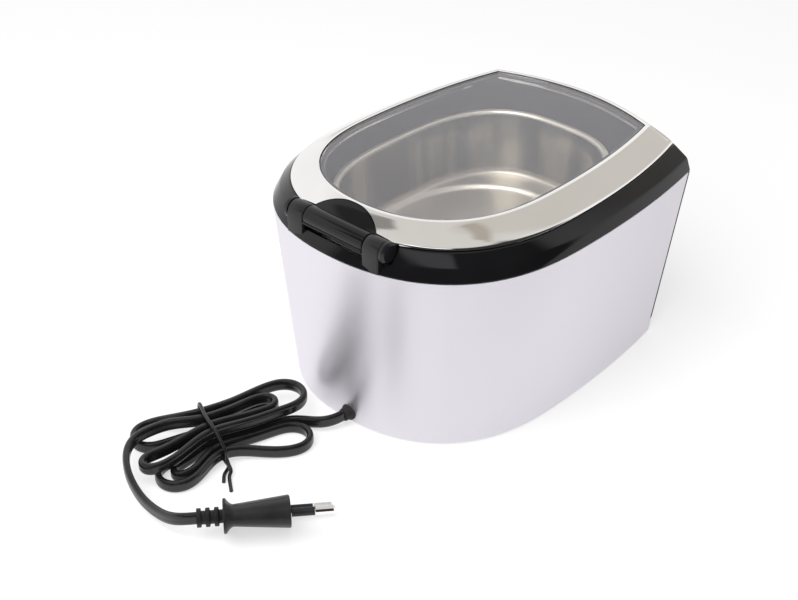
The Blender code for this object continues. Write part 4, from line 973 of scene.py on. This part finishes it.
# even steps along a smooth line through the points (each stretch a cubic that leans on its neighbours)
def evenRoute(points, step, between=12):
    ends = np.concatenate([2 * points[:1] - points[1:2], points, 2 * points[-1:] - points[-2:-1]])
    p0, p1, p2, p3 = (ends[i:len(ends) - 3 + i][:, None] for i in range(4))
    share = np.linspace(0.0, 1.0, between, endpoint=False)[None, :, None]
    bend = 2 * p0 - 5 * p1 + 4 * p2 - p3
    twist = 3 * p1 - p0 - 3 * p2 + p3
    dense = p1 + 0.5 * ((p2 - p0) * share + bend * share**2 + twist * share**3)
    dense = np.concatenate([dense.reshape(-1, 3), points[-1:]])
    length = np.concatenate([[0.0], np.cumsum(np.linalg.norm(np.diff(dense, axis=0), axis=1))])
    marks = np.linspace(0.0, length[-1], round(length[-1] / step) + 1)
    return np.stack([np.interp(marks, length, dense[:, i]) for i in range(3)], axis=1)


# running mean of the points; past both ends the route is turned about its end point, which stays in place
def softened(route, reach):
    before = 2 * route[:1] - route[reach:0:-1]
    after = 2 * route[-1:] - route[-2:-reach - 2:-1]
    sums = np.cumsum(np.concatenate([np.zeros((1, 3)), before, route, after]), axis=0)
    width = 2 * reach + 1
    return (sums[width:] - sums[:-width]) / width


# from the gland through the lead, the hank and the tail into the plug's boot
def cordRoute():
    start = np.array((cord["glandX"], glandY + cord["glandNose"] - cord["sunk"], cord["glandZ"]))
    heading = plugAxes()[0]
    intoBoot = [plugStart - cord["plugRunIn"] * heading, plugStart + cord["sunk"] * heading]
    lead = [start, start + (0.0, cord["thickness"], 0.0), *onFloor(*np.array(hank["lead"]).T)]
    tail = [*onFloor(*np.array(hank["tail"]).T), *intoBoot]
    route = evenRoute(np.concatenate([lead, hankRoute(), tail]), cord["step"])
    return softened(softened(route, cord["soften"]), cord["soften"])


# section carried along a route: its first axis lies level across the route, its second stands up
def swept(route, section):
    heading = unit(np.gradient(route, axis=0))
    side = unit(np.cross(heading, (0.0, 0.0, 1.0)))
    up = np.cross(side, heading)
    return route[:, None] + section[None, :, :1] * side[:, None] + section[None, :, 1:] * up[:, None]


# flat cord section: a squared-off turn, creased along both flat sides by a bell curve
def cordSection():
    across, up = squaredTurn(cord["around"], cord["power"])
    up = cord["width"] / 2 * up
    crease = 1 - cord["crease"] * np.exp(-((up / cord["creaseWidth"]) ** 2))
    return np.stack([cord["thickness"] / 2 * crease * across, up], axis=1)


def makeCord():
    route = cordRoute()
    shell = skinned(swept(route, cordSection()))
    flex = newObject("mains_cord", newMesh("mains_cord", shell, cord["sharp"]))
    dress(flex, cordBlack, "base", ["cord_lead", "cord_hank", "cord_tail"])
    return flex, route


# gland: a collar against the wall, then a short nose that tapers down to the cord, turned about its axis
gland = {
    "bore": 0.0010, "back": 0.0030, "collar": 0.0007, "neck": 0.0009, "neckInset": 0.0008,
    "noseInset": 0.0011, "edge": 0.0004, "steps": 48, "sharp": 50.0,
}


def makeGland():
    radius = cord["glandRadius"]
    nose = cord["glandNose"]
    profile = [
        (gland["bore"], -gland["back"]), (radius, -gland["back"]), (radius, gland["collar"]),
        (radius - gland["neckInset"], gland["neck"]), (radius - gland["noseInset"], nose),
        (gland["bore"], nose),
    ]
    middle = (cord["glandX"], glandY, cord["glandZ"])
    rows = turnedRows(profile, middle, (0.0, 1.0, 0.0), gland["steps"])
    shell = skinned(roundedRows(rows, gland["edge"]))
    grip = newObject("cord_grip", newMesh("cord_grip", shell, gland["sharp"]))
    return dress(grip, rubberBlack, "base", ["cord_gland"])


# tie: one wire from a tail under the hank's waist, up its far side, over it and down to a second tail
tie = {
    "radius": 0.0009, "room": 0.0006, "step": 0.0006, "around": 16, "sharp": 60.0,
    # points it passes: away from the waist, a side of the runs and away from it, a height and away from it
    "path": (
        (0.0068, "near", -0.0108, "low", 0.0), (0.0044, "near", -0.0062, "low", 0.0),
        (0.0004, "near", -0.0018, "low", 0.0), (0.0, "near", 0.0030, "low", 0.0),
        (0.0, "middle", 0.0, "low", 0.0), (-0.0002, "far", -0.0008, "low", 0.0),
        (-0.0002, "far", 0.0014, "low", 0.0018), (-0.0002, "upperFar", -0.0002, "between", 0.0),
        (0.0, "upperFar", 0.0002, "high", -0.0024), (0.0004, "upperFar", -0.0024, "high", 0.0),
        (0.0018, "middle", 0.0040, "high", 0.0003), (0.0020, "upperNear", 0.0018, "high", 0.0),
        (0.0016, "upperNear", -0.0020, "high", -0.0016), (0.0008, "near", -0.0002, "between", 0.0006),
        (0.0004, "near", -0.0003, "low", 0.0036), (0.0006, "near", -0.0018, "low", 0.0026),
        (0.0014, "near", -0.0070, "low", 0.0018), (0.0033, "near", -0.0094, "low", 0.0003),
        (0.0064, "near", -0.0184, "low", 0.0),
    ),
}


# smooth line through the tie's points, which hang on the outermost runs of both layers
def tieRoute():
    room = cord["thickness"] / 2 + tie["room"] + tie["radius"]
    lower = [slot for slot, layer in hank["runs"] if layer == 0]
    upper = [slot for slot, layer in hank["runs"] if layer == 1]
    sides = {
        "near": min(lower) - room, "far": max(lower) + room, "middle": 0.0,
        "upperNear": min(upper) - room, "upperFar": max(upper) + room,
    }
    between = cord["floor"] + cord["width"] + hank["hump"]
    heights = {
        "low": tie["radius"] + cord["floor"], "between": between,
        "high": between + hank["layer"] + tie["room"] + tie["radius"],
    }
    points = np.array([
        (hank["waist"] + along, sides[side] + across, heights[level] + lift)
        for along, side, across, level, lift in tie["path"]
    ])
    return evenRoute(onFloor(*points.T), tie["step"])


# circles carried along the tie's route, their first axis square to the hank
def makeTie():
    route = tieRoute()
    heading = unit(np.gradient(route, axis=0))
    side = unit(np.cross(heading, (math.cos(hank["angle"]), math.sin(hank["angle"]), 0.0)))
    turn = fullTurn(tie["around"])[None, :, None]
    spoke = np.cos(turn) * side[:, None] + np.sin(turn) * np.cross(heading, side)[:, None]
    shell = skinned(route[:, None] + tie["radius"] * spoke)
    wire = newObject("hank_tie", newMesh("hank_tie", shell, tie["sharp"]))
    return dress(wire, cordBlack, "base", ["cord_tie"])


# plug: its rounded sections set one after another along its axis
def makePlug():
    place, across, through, radius = plugStations().T
    sections = plugSections(np.stack([across, through], axis=1))
    rows = plugStart + place[:, None, None] * plugAxes()[0] + sections
    shell = skinned(roundedRows(rows, radius))
    moulding = newObject("plug_moulding", newMesh("plug_moulding", shell, plug["sharp"]))
    return dress(moulding, plugBlack, "base", ["plug_body"])


flex, route = makeCord()
pinNodes = ("plug_sleeve_far", "plug_sleeve_near", "plug_pin_far", "plug_pin_near")
onCord = [makeGland(), makeTie(), makePlug()] + [cadNodes[name] for name in pinNodes]
routeLength = np.linalg.norm(np.diff(route, axis=0), axis=1).sum()
print(f"cord made: {routeLength:.3f} m")

# what the frame's own nodes are finished with
nodeFinish = {
    satinBlack: ["hinge_cap_left", "hinge_cap_right"],
    glossBlack: ["front_panel"],
    lensDark: ["display_lens"],
    greyPlastic: ["button_on", "button_off", "button_set", "fuse_holder"],
    rubberBlack: ["foot_1", "foot_2", "foot_3", "foot_4", "tank_gasket", "window_seal"],
    darkPlastic: [
        "base_plate", "display_module", "switch_on", "switch_off", "switch_set",
        "transformer", "capacitor",
    ],
    boardGreen: ["control_board", "driver_board"],
    castAluminium: ["transducer_horn", "heat_sink"],
    paleCeramic: ["piezo_upper", "piezo_lower"],
    windingCopper: ["electrode", "choke_coil"],
    plugBlack: ["plug_sleeve_far", "plug_sleeve_near"],
    chrome: ["plug_pin_far", "plug_pin_near"],
    stainless: [
        "back_mass", "stack_bolt", "hinge_pin",
        *[f"{kind}_screw_{number}" for kind in ("base", "board") for number in (1, 2, 3, 4)],
    ],
}


# a node keeps its mesh: loose triangles are joined and shaded smooth by modifiers
joinWithin = 0.00001


def finishNode(name, finish):
    node = cadNodes[name]
    node.data.materials.clear()
    node.data.materials.append(finish)
    node.data.polygons.foreach_set("use_smooth", np.ones(len(node.data.polygons), dtype=bool))
    weld = node.modifiers.new("join", "WELD")
    weld.merge_threshold = joinWithin
    split = node.modifiers.new("edges", "EDGE_SPLIT")
    split.split_angle = math.radians(sharpEdge)


for finish, names in nodeFinish.items():
    for name in names:
        finishNode(name, finish)
print("nodes finished:", sum(len(names) for names in nodeFinish.values()))

# studio: white floor, one soft lamp to the left, and a sky white round the horizon and greyer overhead
# patches are what shiny surfaces see in that sky: heading, half span, lowest and highest angle, softness
# of the edge, all in degrees, and light
studio = {
    "floorSize": 2.2, "floorColour": (0.90, 0.90, 0.91), "floorLift": 0.58, "floorFade": (0.45, 1.0),
    "skyHigh": (0.70, 0.68, 0.65), "skyLow": (1.0, 1.0, 1.0), "skyFade": (0.55, 0.95),
    "skyStrength": 0.75,
    "lampPlace": (-0.10, 0.56, 0.82), "lampSize": 0.9, "lampPower": 11.5,
    "patches": (
        (160.0, 62.0, -12.0, 64.0, 5.0, (0.035, 0.034, 0.036)),
        (78.0, 30.0, 21.0, 42.0, 4.0, (0.035, 0.034, 0.036)),
        (112.0, 26.0, 42.5, 58.0, 3.5, (1.40, 1.40, 1.45)),
        (28.0, 14.0, 43.0, 68.0, 2.5, (0.28, 0.27, 0.26)),
        (264.0, 24.0, 16.0, 82.0, 7.0, (0.63, 0.60, 0.56)),
        (248.0, 30.0, 69.0, 77.0, 2.5, (0.46, 0.42, 0.37)),
        (300.0, 24.0, -12.0, 15.0, 3.0, (0.58, 0.54, 0.52)),
    ),
}


# rays that come from the camera, a mirror or a pane see the backdrop at its own colour
def seenDirectly(wire):
    camera = wire.node("LightPath", out="Is Camera Ray")
    glossy = wire.node("LightPath", out="Is Glossy Ray")
    through = wire.node("LightPath", out="Is Transmission Ray")
    return camera.maths("MAXIMUM", camera, glossy.maths("MAXIMUM", glossy, through))


# floor: matte white that glows for the viewer, more towards its rim, where it runs into the white sky
def makeFloor():
    half = studio["floorSize"] / 2
    corners = np.array([(-half, -half, 0.0), (half, -half, 0.0), (half, half, 0.0), (-half, half, 0.0)])
    mesh = bpy.data.meshes.new("floor")
    mesh.from_pydata(corners.tolist(), [], [(0, 1, 2, 3)])
    floor = newObject("floor", mesh)
    material, wire, place = newMaterial("floorWhite")
    matte = wire.node("BsdfDiffuse", {}, {"Color": rgba(studio["floorColour"])})
    glow = wire.node("Emission", {}, {"Color": rgba((1.0, 1.0, 1.0)), "Strength": 1.0})
    distance = wire.node("VectorMath", {"operation": "LENGTH"}, {0: place}, out="Value")
    lift = studio["floorLift"] + (1 - studio["floorLift"]) * distance.rising(*studio["floorFade"])
    lift = seenDirectly(wire) * lift
    shader = wire.node("MixShader", {}, {0: lift, 1: matte, 2: glow})
    wire.node("OutputMaterial", {}, {"Surface": shader})
    mesh.materials.append(material)


# patch of the sky: 1 between two headings and two heights, with soft edges
def skyPatch(wire, direction, heading, span, low, high, soft):
    turned = wire.node("VectorRotate", {"rotation_type": "Z_AXIS"},
                       {"Vector": direction, "Angle": -math.radians(heading)})
    x, y, z = (wire.node("SeparateXYZ", {}, {"Vector": turned}, out=axis) for axis in "XYZ")
    aside = y.maths("ARCTAN2", y, x)
    aside = aside.maths("ABSOLUTE", aside)
    rise = z.maths("ARCSINE", z)
    edge = math.radians(soft)
    level = rise.rising(math.radians(low) - edge, math.radians(low) + edge)
    level = level * (1 - rise.rising(math.radians(high) - edge, math.radians(high) + edge))
    return level * (1 - aside.rising(math.radians(span) - edge, math.radians(span) + edge))


def makeSky():
    world = bpy.data.worlds.new("sky")
    world.use_nodes = True
    world.node_tree.nodes.clear()
    bpy.context.scene.world = world
    wire = Wire(world.node_tree)
    direction = wire.node("TexCoord", out="Generated")
    height = wire.node("SeparateXYZ", {}, {"Vector": direction}, out="Z")
    overhead = height.rising(*studio["skyFade"])
    colour = overhead.choose(rgba(studio["skyLow"]), rgba(studio["skyHigh"]))
    glossy = wire.node("LightPath", out="Is Glossy Ray")
    for *place, light in studio["patches"]:
        colour = (glossy * skyPatch(wire, direction, *place)).choose(colour, rgba(light))
    seen = seenDirectly(wire)
    strength = seen + (1 - seen) * studio["skyStrength"]
    background = wire.node("Background", {}, {"Color": colour, "Strength": strength})
    wire.node("OutputWorld", {}, {"Surface": background})


def makeLamp():
    data = bpy.data.lights.new("softbox", "AREA")
    data.size = studio["lampSize"]
    data.energy = studio["lampPower"]
    lamp = bpy.data.objects.new("softbox", data)
    lamp.visible_glossy = False
    lamp.location = studio["lampPlace"]
    away = -np.array(studio["lampPlace"])
    lamp.rotation_euler = Vector(away).to_track_quat("-Z", "Y").to_euler()
    bpy.context.scene.collection.objects.link(lamp)


makeFloor()
makeSky()
makeLamp()
print("studio made")
